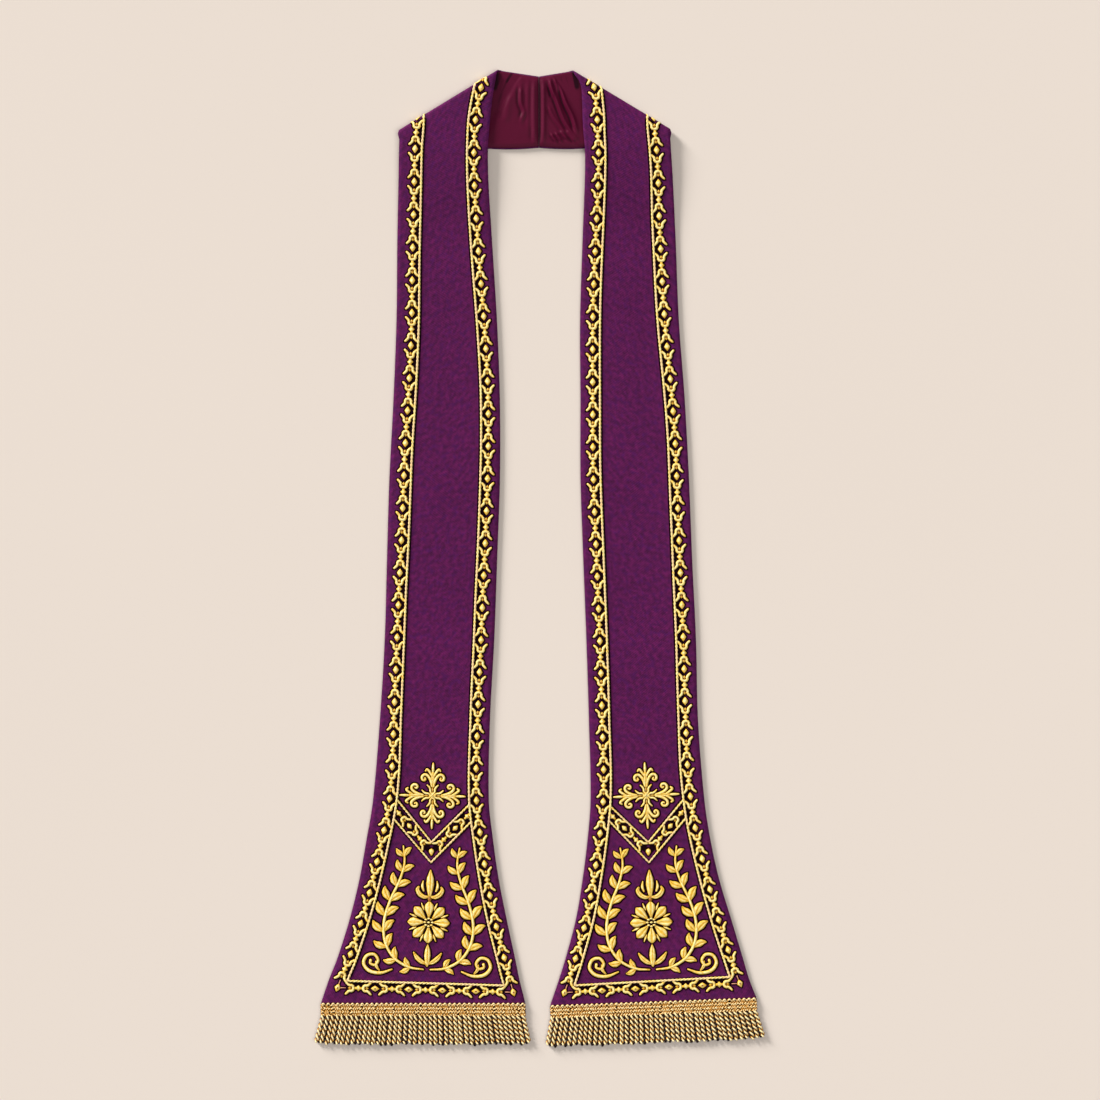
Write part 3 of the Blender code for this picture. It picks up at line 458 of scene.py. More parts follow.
# Lights: name, place, strength, the angle each fills in degrees, and colour.
SUNS = (
    ("key", (-1.0, 0.95, 0.40), 5.6, 18.0, (1.0, 0.98, 0.955)),
    ("fill", (0.5, -0.4, 1.2), 1.15, 50.0, (1.0, 0.985, 0.97)),
)
SURROUND_COLOUR = (1.0, 0.97, 0.94, 1.0)
SURROUND_STRENGTH = 0.27


def linear(*channels):
    """Scene-linear colour of 8-bit sRGB channels."""
    values = [c / 255 for c in channels]
    return tuple(v / 12.92 if v <= 0.04045 else ((v + 0.055) / 1.055) ** 2.4 for v in values)


def sized(name, description, default_mm):
    return FloatProperty(name=name, description=description, default=default_mm * MM, min=0.0, unit="LENGTH")


def coloured(name, description, *channels):
    return FloatVectorProperty(
        name=name, description=description, default=linear(*channels), subtype="COLOR", min=0.0, max=1.0
    )


class StoleSizes(bpy.types.PropertyGroup):
    """Sizes of the needlework and fringe."""

    stitch_height: sized("Stitch height", "How far the gold stitches stand off the cloth", 1.35)
    # The dark outline stitches also stand in for the shade round the gold.
    outline_width: sized("Outline width", "Dark stitches that show round the gold", 1.8)
    outline_height: sized("Outline height", "How far the dark stitches stand off the cloth", 0.32)
    cord_ply: sized("Cord ply radius", "Radius of each ply of the laid gold cord", 0.72)
    cord_twist: sized("Cord twist", "Length of one turn of the laid cord", 8.5)
    strand_ply: sized("Strand ply radius", "Radius of each ply of a fringe strand", 1.05)
    strand_spread: sized("Strand spread", "How far each ply winds from a strand's middle", 1.55)
    strand_twist: sized("Strand twist", "Length of one turn of a fringe strand", 11.6)
    strands: IntProperty(name="Strands", description="Fringe strands in each row of a hem", default=42, min=2)


class StoleColours(bpy.types.PropertyGroup):
    """Colours of the cloths and threads, and of the painted highlights and shade on them."""

    purple: coloured("Purple", "Face cloth", 103, 24, 86)
    purple_deep: coloured("Deep purple", "Face cloth in its grain", 66, 12, 58)
    burgundy: coloured("Burgundy", "Lining satin", 92, 15, 47)
    # Painted shade: the colour that the satin takes in its crease hollows and troughs.
    burgundy_deep: coloured("Deep burgundy", "Lining satin in its creases", 36, 3, 18)
    seam: coloured("Seam thread", "Stitches at the lining's centre back", 62, 8, 32)
    # Dark outline thread round the gold, which also stands in for the shade round it.
    outline: coloured("Outline", "Dark thread round the gold", 14, 1, 5)
    # Painted highlight on the crowns of the gold stitches and painted shade at their feet, with the gold's
    # own colour between.
    gold_light: coloured("Light gold", "Crowns of the gold stitches", 255, 247, 176)
    gold: coloured("Gold", "Gold stitches", 249, 196, 46)
    gold_deep: coloured("Deep gold", "Feet of the gold stitches", 150, 78, 6)
    cream: coloured("Cream", "Paler lengths of the laid cord", 252, 216, 160)
    amber: coloured("Amber", "Small fillings", 160, 100, 8)
    rose: coloured("Rose", "Fine links", 222, 150, 120)
    # Painted highlight on the fringe threads' crowns and painted shade in their hollows, with the fringe's
    # own colour between.
    fringe_light: coloured("Light fringe", "Crowns of the fringe threads", 255, 238, 182)
    fringe: coloured("Fringe", "Fringe threads", 210, 146, 46)
    fringe_deep: coloured("Deep fringe", "Fringe threads in their hollows", 46, 13, 0)
    floor: coloured("Floor", "Surface that the stole lies on", 227, 216, 206)


class Field:
    """A socket of a node tree that can be used in Python expressions."""

    def __init__(self, net, socket):
        self.net = net
        self.socket = socket

    def __add__(self, other):
        return self.net.math("ADD", self, other)

    def __sub__(self, other):
        return self.net.math("SUBTRACT", self, other)

    def __mul__(self, other):
        return self.net.math("MULTIPLY", self, other)

    def __truediv__(self, other):
        return self.net.math("DIVIDE", self, other)

    def __pow__(self, other):
        return self.net.math("POWER", self, other)

    def __radd__(self, other):
        return self.net.math("ADD", other, self)

    def __rsub__(self, other):
        return self.net.math("SUBTRACT", other, self)

    def sin(self):
        return self.net.math("SINE", self)

    def cos(self):
        return self.net.math("COSINE", self)

    def output(self, name):
        """Another output of the node that this field comes from."""
        return Field(self.net, self.socket.node.outputs[name])


class Net:
    """Adds nodes to one shader or geometry tree and joins them."""

    def __init__(self, tree):
        self.tree = tree

    def add(self, kind, inputs=(), output=0, **settings):
        """A new node's output as a field; its inputs are listed in order, or keyed by name or number."""
        node = self.tree.nodes.new(kind)
        for name, value in settings.items():
            setattr(node, name, value)
        for socket, value in inputs.items() if isinstance(inputs, dict) else enumerate(inputs):
            self.feed(node.inputs[socket], value)
        return Field(self, node.outputs[output]) if node.outputs else node

    def feed(self, socket, value):
        """Links a field or a list of fields to a socket, or sets its plain value."""
        if isinstance(value, (Field, list)):
            for field in value if isinstance(value, list) else [value]:
                self.tree.links.new(field.socket, socket)
        else:
            socket.default_value = value

    def math(self, operation, *values):
        return self.add("ShaderNodeMath", values, operation=operation)

    def vector(self, operation, inputs):
        return self.add("ShaderNodeVectorMath", inputs, operation=operation)

    def combine(self, x, y, z):
        return self.add("ShaderNodeCombineXYZ", (x, y, z))

    def mix(self, factor, a, b):
        """Colour between a and b."""
        a, b = (c if isinstance(c, Field) else (*c, 1.0) for c in (a, b))
        return self.add("ShaderNodeMix", {0: factor, 6: a, 7: b}, 2, data_type="RGBA", clamp_factor=True)

    def smooth_step(self, value, low, high):
        return self.add("ShaderNodeMapRange", (value, low, high, 0.0, 1.0), interpolation_type="SMOOTHSTEP")

    def noise(self, place, scale, detail=2.0, roughness=0.5):
        inputs = {"Vector": place, "Scale": scale, "Detail": detail, "Roughness": roughness}
        return self.add("ShaderNodeTexNoise", inputs, noise_dimensions="3D")

    def attribute(self, name):
        return self.add("ShaderNodeAttribute", output=2, attribute_name=name)

    def bump(self, height, distance, strength):
        return self.add("ShaderNodeBump", {"Height": height, "Distance": distance, "Strength": strength})

    def object_place(self):
        return self.add("ShaderNodeTexCoord", output="Object")

    def cloth_place(self):
        """Place on the cloth as it was woven, in metres, with its parts across and along."""
        place = self.add("ShaderNodeUVMap", uv_map="cloth")
        across = self.add("ShaderNodeSeparateXYZ", (place,))
        return place, across, across.output("Y")


def ridges(place, pitch):
    """Goes from 0 to 1 and back once in each pitch."""
    return (place * (2 * math.pi / pitch)).sin() * 0.5 + 0.5


PAINTS = {}


def painted(name, roughness=0.6, specular=0.5):
    """Keeps paint(net, colours), which gives the shader's inputs by their names, as a material's paint."""

    def keep(paint):
        PAINTS[name] = (paint, roughness, specular)
        return paint

    return keep


def material(name):
    """The named material, made once."""
    found = bpy.data.materials.get(name)
    if found:
        return found
    paint, roughness, specular = PAINTS[name]
    made = bpy.data.materials.new(name)
    made.use_nodes = True
    shader = made.node_tree.nodes["Principled BSDF"]
    shader.inputs["Roughness"].default_value = roughness
    shader.inputs["Specular IOR Level"].default_value = specular
    net = Net(made.node_tree)
    for socket, value in paint(net, bpy.context.scene.stole_colours).items():
        net.feed(shader.inputs[socket], value)
    return made


@painted("purple_crepe", specular=0.15)
def paint_crepe(net, colours):
    """Purple crepe with a fine diagonal grain."""
    place, across, along = net.cloth_place()
    pebble = net.noise(place, 900.0, 2.0, 0.6)
    mottle = net.noise(place, 210.0, 3.0, 0.65)
    hue = net.noise(place, 150.0, 2.0, 0.6)
    cloud = net.noise(place, 14.0)
    twill = ((across + along) * (2 * math.pi / TWILL_PITCH) + pebble * 3.0).sin() * 0.5 + 0.5
    shade = (mottle - 0.5) * 2.6 + (twill - 0.5) * 0.3 + (cloud - 0.5) * 0.5 + 0.5
    height = pebble * 0.6 + twill * 0.25 + mottle * 0.5
    bluer = tuple(c * share for c, share in zip(colours.purple, BLUER_SHARES))
    light = net.mix(net.smooth_step(hue, 0.42, 0.68), colours.purple, bluer)
    return {
        "Base Color": net.mix(shade, colours.purple_deep, light),
        "Roughness": 0.86 + (mottle - 0.5) * 0.2,
        "Normal": net.bump(height, 0.0005, 0.7),
    }


@painted("burgundy_satin", specular=0.08)
def paint_satin(net, colours):
    """Burgundy lining satin: smooth, with fine threads along the piece, and with painted shade in its
    hollows.
    """
    place, across, along = net.cloth_place()
    cloud = net.noise(place, 30.0, 3.0)
    slub = net.noise(net.combine(across * 9.0, along, 0.0), 160.0)
    hollow = net.attribute("hollow")
    dark = tuple(c * 0.7 for c in colours.burgundy)
    silk = net.mix(cloud * 0.6 + slub * 0.6 - 0.1, dark, colours.burgundy)
    return {
        # Painted shade in the crease hollows, darkest where they sink deepest.
        "Base Color": net.mix(net.smooth_step(hollow, 0.0, 1.0), silk, colours.burgundy_deep),
        "Roughness": 0.4 + slub * 0.14,
        "Normal": net.bump(slub, 0.00012, 0.5),
    }


def shaded_thread_colour(net, depth, stops, colours):
    """Painted light on a thread: painted shade at its foot, its own colour on its flank and a painted
    highlight on its crown, in two ramps between three colours.
    """
    low, middle, high = colours
    foot = net.mix(net.smooth_step(depth, *stops[:2]), low, middle)
    return net.mix(net.smooth_step(depth, *stops[2:]), foot, high)


@painted("gold_satin_stitch", specular=0.4)
def paint_gold(net, colours):
    """Lustrous satin stitch with painted shade at its feet and a painted highlight on its crowns, in the
    tones of its strokes.
    """
    place = net.object_place()
    crown, thread, tone = (net.attribute(name) for name in ("crown", "thread", "tone"))
    stitch = ridges(thread, STITCH_PITCH)
    lay = net.noise(place, 330.0, 2.0, 0.6)
    bundle = net.noise(net.combine(thread * 0.45, crown * 1.5, tone), 1.0, 2.0, 0.6)
    # Share of the way from painted shade at the foot to painted highlight on the crown, by the stitch's
    # height with random unevenness.
    depth = crown * 0.86 + (stitch - 0.5) * 0.2 + (lay - 0.5) * 0.7 + (bundle - 0.5) * 0.5
    threads = (colours.gold_deep, colours.gold, colours.gold_light)
    gold = shaded_thread_colour(net, depth, (0.08, 0.46, 0.5, 0.95), threads)
    gold = net.mix(net.smooth_step(tone, -0.25, -0.8) * 0.8, gold, colours.cream)
    amber = net.mix(net.smooth_step(tone, 0.1, 0.5), gold, colours.amber)
    return {
        "Base Color": net.mix(net.smooth_step(tone, 0.7, 0.95), amber, colours.rose),
        "Roughness": 0.5 - crown * 0.14 + (lay - 0.5) * 0.1,
        "Normal": net.bump(stitch * 0.7 + bundle * 0.6, 0.0003, 0.7),
    }


@painted("outline_thread", 0.95, 0.0)
def paint_outline(net, colours):
    """Dark matt thread laid round the gold, which also stands in for the shade round it."""
    fuzz = net.noise(net.object_place(), 900.0)
    lighter = tuple(c * 2.2 + 0.004 for c in colours.outline)
    return {"Base Color": net.mix(fuzz, colours.outline, lighter), "Normal": net.bump(fuzz, 0.0002, 0.5)}


def paint_twist(net, threads):
    """Twisted metallic thread; its three colours go from painted shade at its foot to a painted highlight at
    its crown.
    """
    place = net.object_place()
    crown, thread = net.attribute("crown"), net.attribute("thread")
    fibre = ridges(thread, FIBRE_PITCH)
    lay = net.noise(place, 420.0, 2.0, 0.6)
    # Share of the way from painted shade at the foot to a painted highlight on the crown.
    depth = crown + (lay - 0.5) * 0.5 + (fibre - 0.5) * 0.16
    return {
        "Base Color": shaded_thread_colour(net, depth, (0.14, 0.4, 0.45, 0.85), threads),
        "Roughness": 0.5 - crown * 0.12,
        "Normal": net.bump(fibre * 0.6 + lay * 0.4, 0.00025, 0.8),
    }


@painted("twisted_fringe", specular=0.3)
def paint_fringe(net, colours):
    return paint_twist(net, (colours.fringe_deep, colours.fringe, colours.fringe_light))


@painted("fringe_shade", specular=0.3)
def paint_fringe_shade(net, colours):
    """The same thread where it lies in the shade of the row above it."""
    dark, deep = (tuple(c * share for c in colours.fringe_deep) for share in (0.15, 0.6))
    return paint_twist(net, (dark, dark, deep))


@painted("seam_thread", 0.7)
def paint_seam(net, colours):
    return {"Base Color": (*colours.seam, 1.0)}


@painted("pale_floor", 0.9)
def paint_floor(net, colours):
    warm = tuple(c * 0.97 for c in colours.floor)
    return {"Base Color": net.mix(net.noise(net.object_place(), 1.3), warm, colours.floor)}


def unit(vector):
    return vector / np.linalg.norm(vector)


def ease(f):
    """Goes from 0 to 1 with level ends."""
    f = np.clip(f, 0.0, 1.0)
    return f * f * (3 - 2 * f)


def smooth(rows, column, y):
    """Values of a table's column at y, on a smooth curve through its rows."""
    marks = np.array([row.y for row in rows])
    values = np.array([getattr(row, column) for row in rows])
    rank = np.arange(len(rows))
    before, after = np.maximum(rank - 1, 0), np.minimum(rank + 1, rank[-1])
    slopes = (values[after] - values[before]) / (marks[after] - marks[before])
    y = np.clip(y, marks[0], marks[-1])
    i = np.clip(np.searchsorted(marks, y) - 1, 0, rank[-1] - 1)
    span = marks[i + 1] - marks[i]
    f = (y - marks[i]) / span
    lean = f * (1 - f) * span * ((1 - f) * slopes[i] - f * slopes[i + 1])
    return values[i] + (values[i + 1] - values[i]) * ease(f) + lean


def curve_through(points, steps):
    """Points of a smooth open curve through the given ones."""
    points = [np.array(p, float) for p in points]
    ends = [2 * points[0] - points[1], *points, 2 * points[-1] - points[-2]]
    found = []
    for a, b, c, d in zip(ends, ends[1:], ends[2:], ends[3:]):
        square = 2 * a - 5 * b + 4 * c - d
        cube = 3 * b - a - 3 * c + d
        for f in np.arange(steps) / steps:
            found.append(b + 0.5 * ((c - a) * f + square * f**2 + cube * f**3))
    return np.array([*found, points[-1]])


def marks_of(line):
    """Distance of each point along a line."""
    return np.concatenate([[0.0], np.cumsum(np.linalg.norm(np.diff(line, axis=0), axis=1))])


def along_line(line, distance):
    """Place and direction at a distance along a line, straight on past its ends."""
    marks = marks_of(line)
    i = int(np.clip(np.searchsorted(marks, distance) - 1, 0, len(line) - 2))
    direction = unit(line[i + 1] - line[i])
    return line[i] + direction * (distance - marks[i]), direction


def along_shares(line, steps):
    """Points at even shares of a line's length."""
    marks = marks_of(line)
    wanted = np.linspace(0.0, marks[-1], steps)
    return np.stack([np.interp(wanted, marks, line[:, k]) for k in (0, 1)], axis=1)


def directions_of(line):
    """Direction of a line at each of its points."""
    steps = np.diff(line, axis=0)
    steps = steps / np.linalg.norm(steps, axis=1)[:, None]
    mean = np.concatenate([steps[:1], steps[:-1] + steps[1:], steps[-1:]])
    return mean / np.linalg.norm(mean, axis=1)[:, None]


def heading(direction):
    return math.atan2(direction[1], direction[0])


def line_y(a, b, x):
    """Height on the plan at x of the straight line through a and b."""
    return a[1] + (b[1] - a[1]) * (x - a[0]) / (b[0] - a[0])


class Half:
    """One half of the stole: the plan of its leg, shoulder fold and half of the neck part."""

    def __init__(self, sizes):
        self.name, self.side, self.turn = sizes.name, sizes.side, math.radians(sizes.turn)
        self.hem_y = dict(zip(EDGES, sizes.hem_y))
        self.border_rise = dict(zip(EDGES, sizes.border_rise))
        outer, inner = np.array(sizes.fold_outer), np.array(sizes.fold_inner)
        along = unit(inner - outer)
        self.fold_out = np.array((along[1], -along[0])) * self.side
        self.shear = along * FOLD_SHEAR
        to_axis = self.fold_out * FACE_OUTER + self.shear / 2
        self.fold_outer, self.fold_inner = outer - to_axis, inner - to_axis
        self.knee = np.array((self.edge("inner", sizes.knee_y), sizes.knee_y))
        self.seam_x = CENTRE_BACK_X + self.side * SEAM_GAP / 2
        self.along_hem = unit(self.hem_corner("inner") - self.hem_corner("outer"))
        self.down_hem = np.array((self.along_hem[1], -self.along_hem[0])) * -self.side

    def edge(self, edge, y):
        return smooth(LEG_EDGES, f"{self.name}_{edge}", y)

    def inset_x(self, edge, column, y):
        """Where the border's chain or cord runs at y, inside an edge."""
        inward = -self.side if edge == "outer" else self.side
        drift = smooth(BORDER_DRIFTS, f"{self.name}_{edge}", y)
        return self.edge(edge, y) + inward * smooth(INSETS, column, y) + drift

    def hem_corner(self, edge):
        return np.array((float(self.edge(edge, self.hem_y[edge])), self.hem_y[edge]))

    def hem_line(self, below, level=0.0, inward=0.0):
        """Two ends of a line at a distance below the hem, moved in from its corners."""
        step = self.along_hem * inward
        ends = (self.hem_corner("outer") + step, self.hem_corner("inner") - step)
        return [np.array((*(end + self.down_hem * below), level)) for end in ends]

    def hem_line_y(self, x):
        return line_y(self.hem_corner("outer"), self.hem_corner("inner"), x)

    def fold_line_y(self, x):
        return line_y(self.fold_outer, self.fold_inner, x)

    def core(self, x, y):
        """Height of the leg's core: over the neck part, then down to the surface."""
        lowered = ease((line_y(self.fold_outer, self.knee, x) - y) / SLOPE_LENGTH)
        return FOLD_AXIS_Z + (LEG_CORE_Z - FOLD_AXIS_Z) * lowered

    def ripple(self, x, y):
        """Slight unevenness of the face cloth, none at its edges or near the fold."""
        margin = np.minimum(np.abs(x - self.edge("outer", y)), np.abs(x - self.edge("inner", y)))
        spaces = (margin, self.fold_line_y(x) - y, y - self.hem_line_y(x))
        fade = math.prod(ease(space / calm) for space, calm in zip(spaces, RIPPLE_FADES))
        across, along = RIPPLE_WAVES
        reach, length = RIPPLE_WANDER
        wave = np.sin(x / across + reach * np.sin(y / length)) * np.sin(y / along + self.side)
        return RIPPLE_HEIGHT * (0.5 + 0.5 * wave) * fade

    def leg_ends(self, station):
        """Outer and inner end of a row across the leg, from 0 at the hem to 1 at the fold."""
        ends = []
        for edge, fold in zip(EDGES, (self.fold_outer, self.fold_inner)):
            y = self.hem_y[edge] + (fold[1] - self.hem_y[edge]) * station
            ends.append(np.array((float(self.edge(edge, y)), y)) if station < 1.0 else fold)
        return ends

    def neck_ends(self, station):
        """Lower and upper end of a row across the neck part, from 0 at the fold to 1 at the seam."""
        low, high = (
            (fold + self.shear) * (1 - station) + np.array((self.seam_x, seam_y)) * station
            for fold, seam_y in ((self.fold_outer, CENTRE_BACK_LOW_Y), (self.fold_inner, CENTRE_BACK_TOP_Y))
        )
        return low - np.array((0.0, NECK_LOW_BULGE * 4 * station * (1 - station))), high

    def corner(self, edge, column):
        """Where the border's chain or cord beside this edge meets the one along the hem."""
        hem_inset = HEM_INSETS[column] + self.border_rise[edge]
        y = self.hem_y[edge] + hem_inset
        for _ in range(SETTLING_ROUNDS):
            y = self.hem_line_y(self.inset_x(edge, column, y)) + hem_inset
        return np.array((float(self.inset_x(edge, column, y)), float(y)))

    def side_line(self, edge, column):
        """Points of the border's chain or cord beside an edge, from the hem's corner up over the fold."""
        start_y = end_y = self.corner(edge, column)[1]
        for _ in range(SETTLING_ROUNDS):
            end_y = self.fold_line_y(self.inset_x(edge, column, end_y)) + PAST_FOLD_CORD / self.fold_out[1]
        heights = np.linspace(start_y, end_y, int((end_y - start_y) / LINE_STEP))
        return np.stack([self.inset_x(edge, column, heights), heights], axis=1)

    def past_fold(self, plan):
        return (plan - self.fold_outer) @ self.fold_out

    def lay(self, flat):
        """World places of plan points with a height above the face cloth, carried over the fold.

        Past the crest the threads are pressed flat, for the stole lies on them there.
        """
        plan, height = flat[:, :2], flat[:, 2]
        past = self.past_fold(plan)
        over = np.clip(past, 0.0, None)
        angle = np.clip(over / FACE_OUTER, 0.0, math.pi)
        radius = FACE_OUTER + height * np.maximum(0.5 + 0.5 * np.cos(angle), PRESSED_SHARE)
        under = np.clip(over - math.pi * FACE_OUTER, 0.0, None)
        base = plan - np.outer(over + under, self.fold_out)
        laid = base + np.outer(np.sin(angle) * radius, self.fold_out)
        x, y = plan.T
        level = np.where(past > 0, FOLD_AXIS_Z + np.cos(angle) * radius, self.core(x, y) + radius)
        return np.column_stack([laid, level + self.ripple(x, y)])

    def v_lines(self):
        """The V band's upper and lower line, each from the outer side cord by its apex to the inner one."""
        lines = []
        for row in V_LINES[self.name]:
            outer, inner = ((float(self.inset_x(edge, "cord", y)), y) for edge, y in zip(EDGES, row.ends_y))
            lines.append(np.array([outer, row.apex, inner]))
        return lines

    def panel_point(self, u, v):
        """A place in the end ornament's frame, on the plan."""
        x, y = V_LINES[self.name][1].apex
        cos, sin = math.cos(self.turn), math.sin(self.turn)
        return np.array((x + u * cos - v * sin, y + u * sin + v * cos))


def link_piece(name, mesh, material_name, nodes=()):
    """Puts a finished mesh in the scene as a piece of the stole."""
    mesh.shade_smooth()
    mesh.materials.clear()
    mesh.materials.append(material(material_name))
    piece = bpy.data.objects.new(name, mesh)
    bpy.context.scene.collection.objects.link(piece)
    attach(piece, "root")
    if nodes:
        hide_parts(*nodes)
    return piece


def face_outwards(mesh):
    built = bmesh.new()
    built.from_mesh(mesh)
    bmesh.ops.recalc_face_normals(built, faces=built.faces)
    built.to_mesh(mesh)
    built.free()


def ring_faces(rings, count):
    """Quads between neighbouring rings of points."""
    faces = []
    for start in range(0, (rings - 1) * count, count):
        for a, b in zip(range(count), (*range(1, count), 0)):
            faces.append((start + a, start + b, start + count + b, start + count + a))
    return faces


def crease_lift(x, y):
    """Height of the neck lining's creases above its level."""
    lift = np.zeros_like(x)
    places = np.stack([x, y], axis=-1)
    aside, narrowness, depth = CREASE_HOLLOW
    for crease in CREASES:
        line = curve_through(crease.line, CREASE_STEPS)
        nearest = np.full(x.shape, np.inf)
        beside = np.zeros_like(x)
        run = np.zeros_like(x)
        marks = marks_of(line)
        for i, (a, b) in enumerate(zip(line, line[1:])):
            step = b - a
            f = np.clip(((places - a) @ step) / (step @ step), 0.0, 1.0)
            away = places - (a + f[..., None] * step)
            distance = np.linalg.norm(away, axis=-1)
            closer = distance < nearest
            nearest = np.where(closer, distance, nearest)
            side = np.sign(step[0] * away[..., 1] - step[1] * away[..., 0])
            beside = np.where(closer, side, beside)
            run = np.where(closer, (marks[i] + f * (marks[i + 1] - marks[i])) / marks[-1], run)
        tapered = ease(run / CREASE_TAPER) * ease((1 - run) / CREASE_TAPER)
        across = nearest * beside / crease.spread
        ridge = np.exp(-(across**2))
        hollow = np.exp(-((across + aside) ** 2) * narrowness) * depth
        lift += crease.height * (ridge - hollow) * (tapered * (1 - CREASE_ENDS) + CREASE_ENDS)
    trough = np.exp(-(((x - CENTRE_BACK_X) / SEAM_TROUGH_SPREAD) ** 2))
    return lift * CREASE_DEPTH - SEAM_TROUGH * trough


def across_row(ends, columns, setback):
    """Points across a row, its ends moved in by the setback, with a narrow first and last step."""
    a, b = ends
    width = np.linalg.norm(b - a)
    step = (b - a) / width
    a, width = a + step * setback, width - 2 * setback
    stops = np.array([0.0, *np.linspace(EDGE_ROUND, width - EDGE_ROUND, columns - 1), width])
    return a + stops[:, None] * step, stops


def cloth_rows(half, layer):
    """Core points, outward directions and woven place of a cloth layer, row by row."""
    points, directions, stops = [], [], []

    def add_row(ends, direction, level_of=None):
        plan, stop = across_row(ends, layer.columns, layer.setback)
        level = level_of(*plan.T, stop) if level_of else np.full(len(plan), FOLD_AXIS_Z)
        points.append(np.column_stack([plan, level]))
        directions.append(np.broadcast_to(direction, (len(plan), 3)))
        stops.append(stop)

    def leg_level(x, y, _):
        return half.core(x, y) + (half.ripple(x, y) if layer.name == "face" else 0.0)

    def neck_level(x, y, stop):
        lift = np.clip(CREASE_LEVEL + crease_lift(x, y), CREASE_LOWEST, None)
        rim = np.minimum(stop, stop[-1] - stop)
        return FOLD_AXIS_Z + lift * ease(rim / CREASE_RIM) * ease((station - CREASE_START) / CREASE_RISE)

    up = np.array((0.0, 0.0, 1.0))
    out = np.array((*half.fold_out, 0.0))
    leg_length = half.fold_outer[1] - half.hem_y["outer"]
    hem = layer.setback / leg_length
    for station in (hem, *np.linspace(hem + EDGE_ROUND / leg_length, 1.0, int(leg_length / layer.leg_step))):
        add_row(half.leg_ends(station), up, leg_level)
    for turned in np.arange(1, layer.fold_steps + 1) / layer.fold_steps:
        angle = math.pi * turned
        ends = [fold + half.shear * turned for fold in (half.fold_outer, half.fold_inner)]
        add_row(ends, up * math.cos(angle) + out * math.sin(angle))
    for station in np.arange(1, layer.neck_steps + 1) / layer.neck_steps:
        add_row(half.neck_ends(station), -up, neck_level if layer.name == "lining" else None)
    return np.array(points), np.array(directions), np.array(stops)


def cloth_shell(name, points, directions, stops, layer):
    """Closed thin cloth with soft edges, from rows of core points."""
    rows, columns = points.shape[:2]
    edge, far, near = (points + directions * level for level in (layer.middle, layer.outer, layer.inner))
    rings = np.concatenate([edge[:, :1], far[:, 1:-1], edge[:, -1:], near[:, -2:0:-1]], axis=1)
    count = rings.shape[1]
    faces = ring_faces(rows, count)
    for start in (0, (rows - 1) * count):
        faces.append((start, start + 1, start + count - 1))
        faces.append((start + columns - 2, start + columns - 1, start + columns))
        for c in range(1, columns - 2):
            faces.append((start + c, start + c + 1, start + count - c - 1, start + count - c))
    mesh = bpy.data.meshes.new(name)
    mesh.from_pydata((rings.reshape(-1, 3) * MM).tolist(), [], faces)
    face_outwards(mesh)

    run = marks_of(points[:, columns // 2])
    order = [*range(columns), *range(columns - 2, 0, -1)]
    place = np.stack([stops[:, order], np.broadcast_to(run[:, None], (rows, count))], axis=2)
    woven = mesh.uv_layers.new(name="cloth")
    corners = np.empty(len(mesh.loops), np.int32)
    mesh.loops.foreach_get("vertex_index", corners)
    woven.data.foreach_set("uv", (place.reshape(-1, 2)[corners] * MM).ravel().astype(np.float32))
    return mesh


def places_of(mesh):
    places = np.empty(len(mesh.vertices) * 3)
    mesh.vertices.foreach_get("co", places)
    return places.reshape(-1, 3)


def store_values(mesh, name, values, kind="FLOAT"):
    attribute = mesh.attributes.new(name, kind, "POINT")
    attribute.data.foreach_set("value", np.asarray(values, np.float32 if kind == "FLOAT" else np.int32))


def cut_of(points):
    """Flat width, length and area of a cloth layer as it was cut, in metres."""
    widths = np.linalg.norm(points[:, -1] - points[:, 0], axis=1) * MM
    run = marks_of(points[:, points.shape[1] // 2]) * MM
    area = float(np.sum((widths[1:] + widths[:-1]) / 2 * np.diff(run)))
    return float(widths.max()), float(run[-1]), area


def make_cloth(half, layer, material_name):
    """One cloth layer of a half: its leg, shoulder fold and half of the neck part in one piece."""
    name = f"{half.name}_{layer.name}"
    points, directions, stops = cloth_rows(half, layer)
    mesh = cloth_shell(f"{name}_cloth", points, directions, stops, layer)
    if layer.name == "lining":
        # How deep each crease hollow sinks, kept for the satin to paint shade into.
        x, y, _ = places_of(mesh).T / MM
        store_values(mesh, "hollow", np.clip(-crease_lift(x, y) / HOLLOW_SHADE, 0.0, 1.0))
    nodes = [f"{name}_end", name, f"{name}_neck"]
    piece = link_piece(f"{name}_cloth", mesh, material_name, nodes)
    width, length, area = cut_of(points + directions * layer.middle)
    area = min(area, width * length)


def make_face(half):
    make_cloth(half, FACE, "purple_crepe")


def make_lining(half):
    make_cloth(half, LINING, "burgundy_satin")


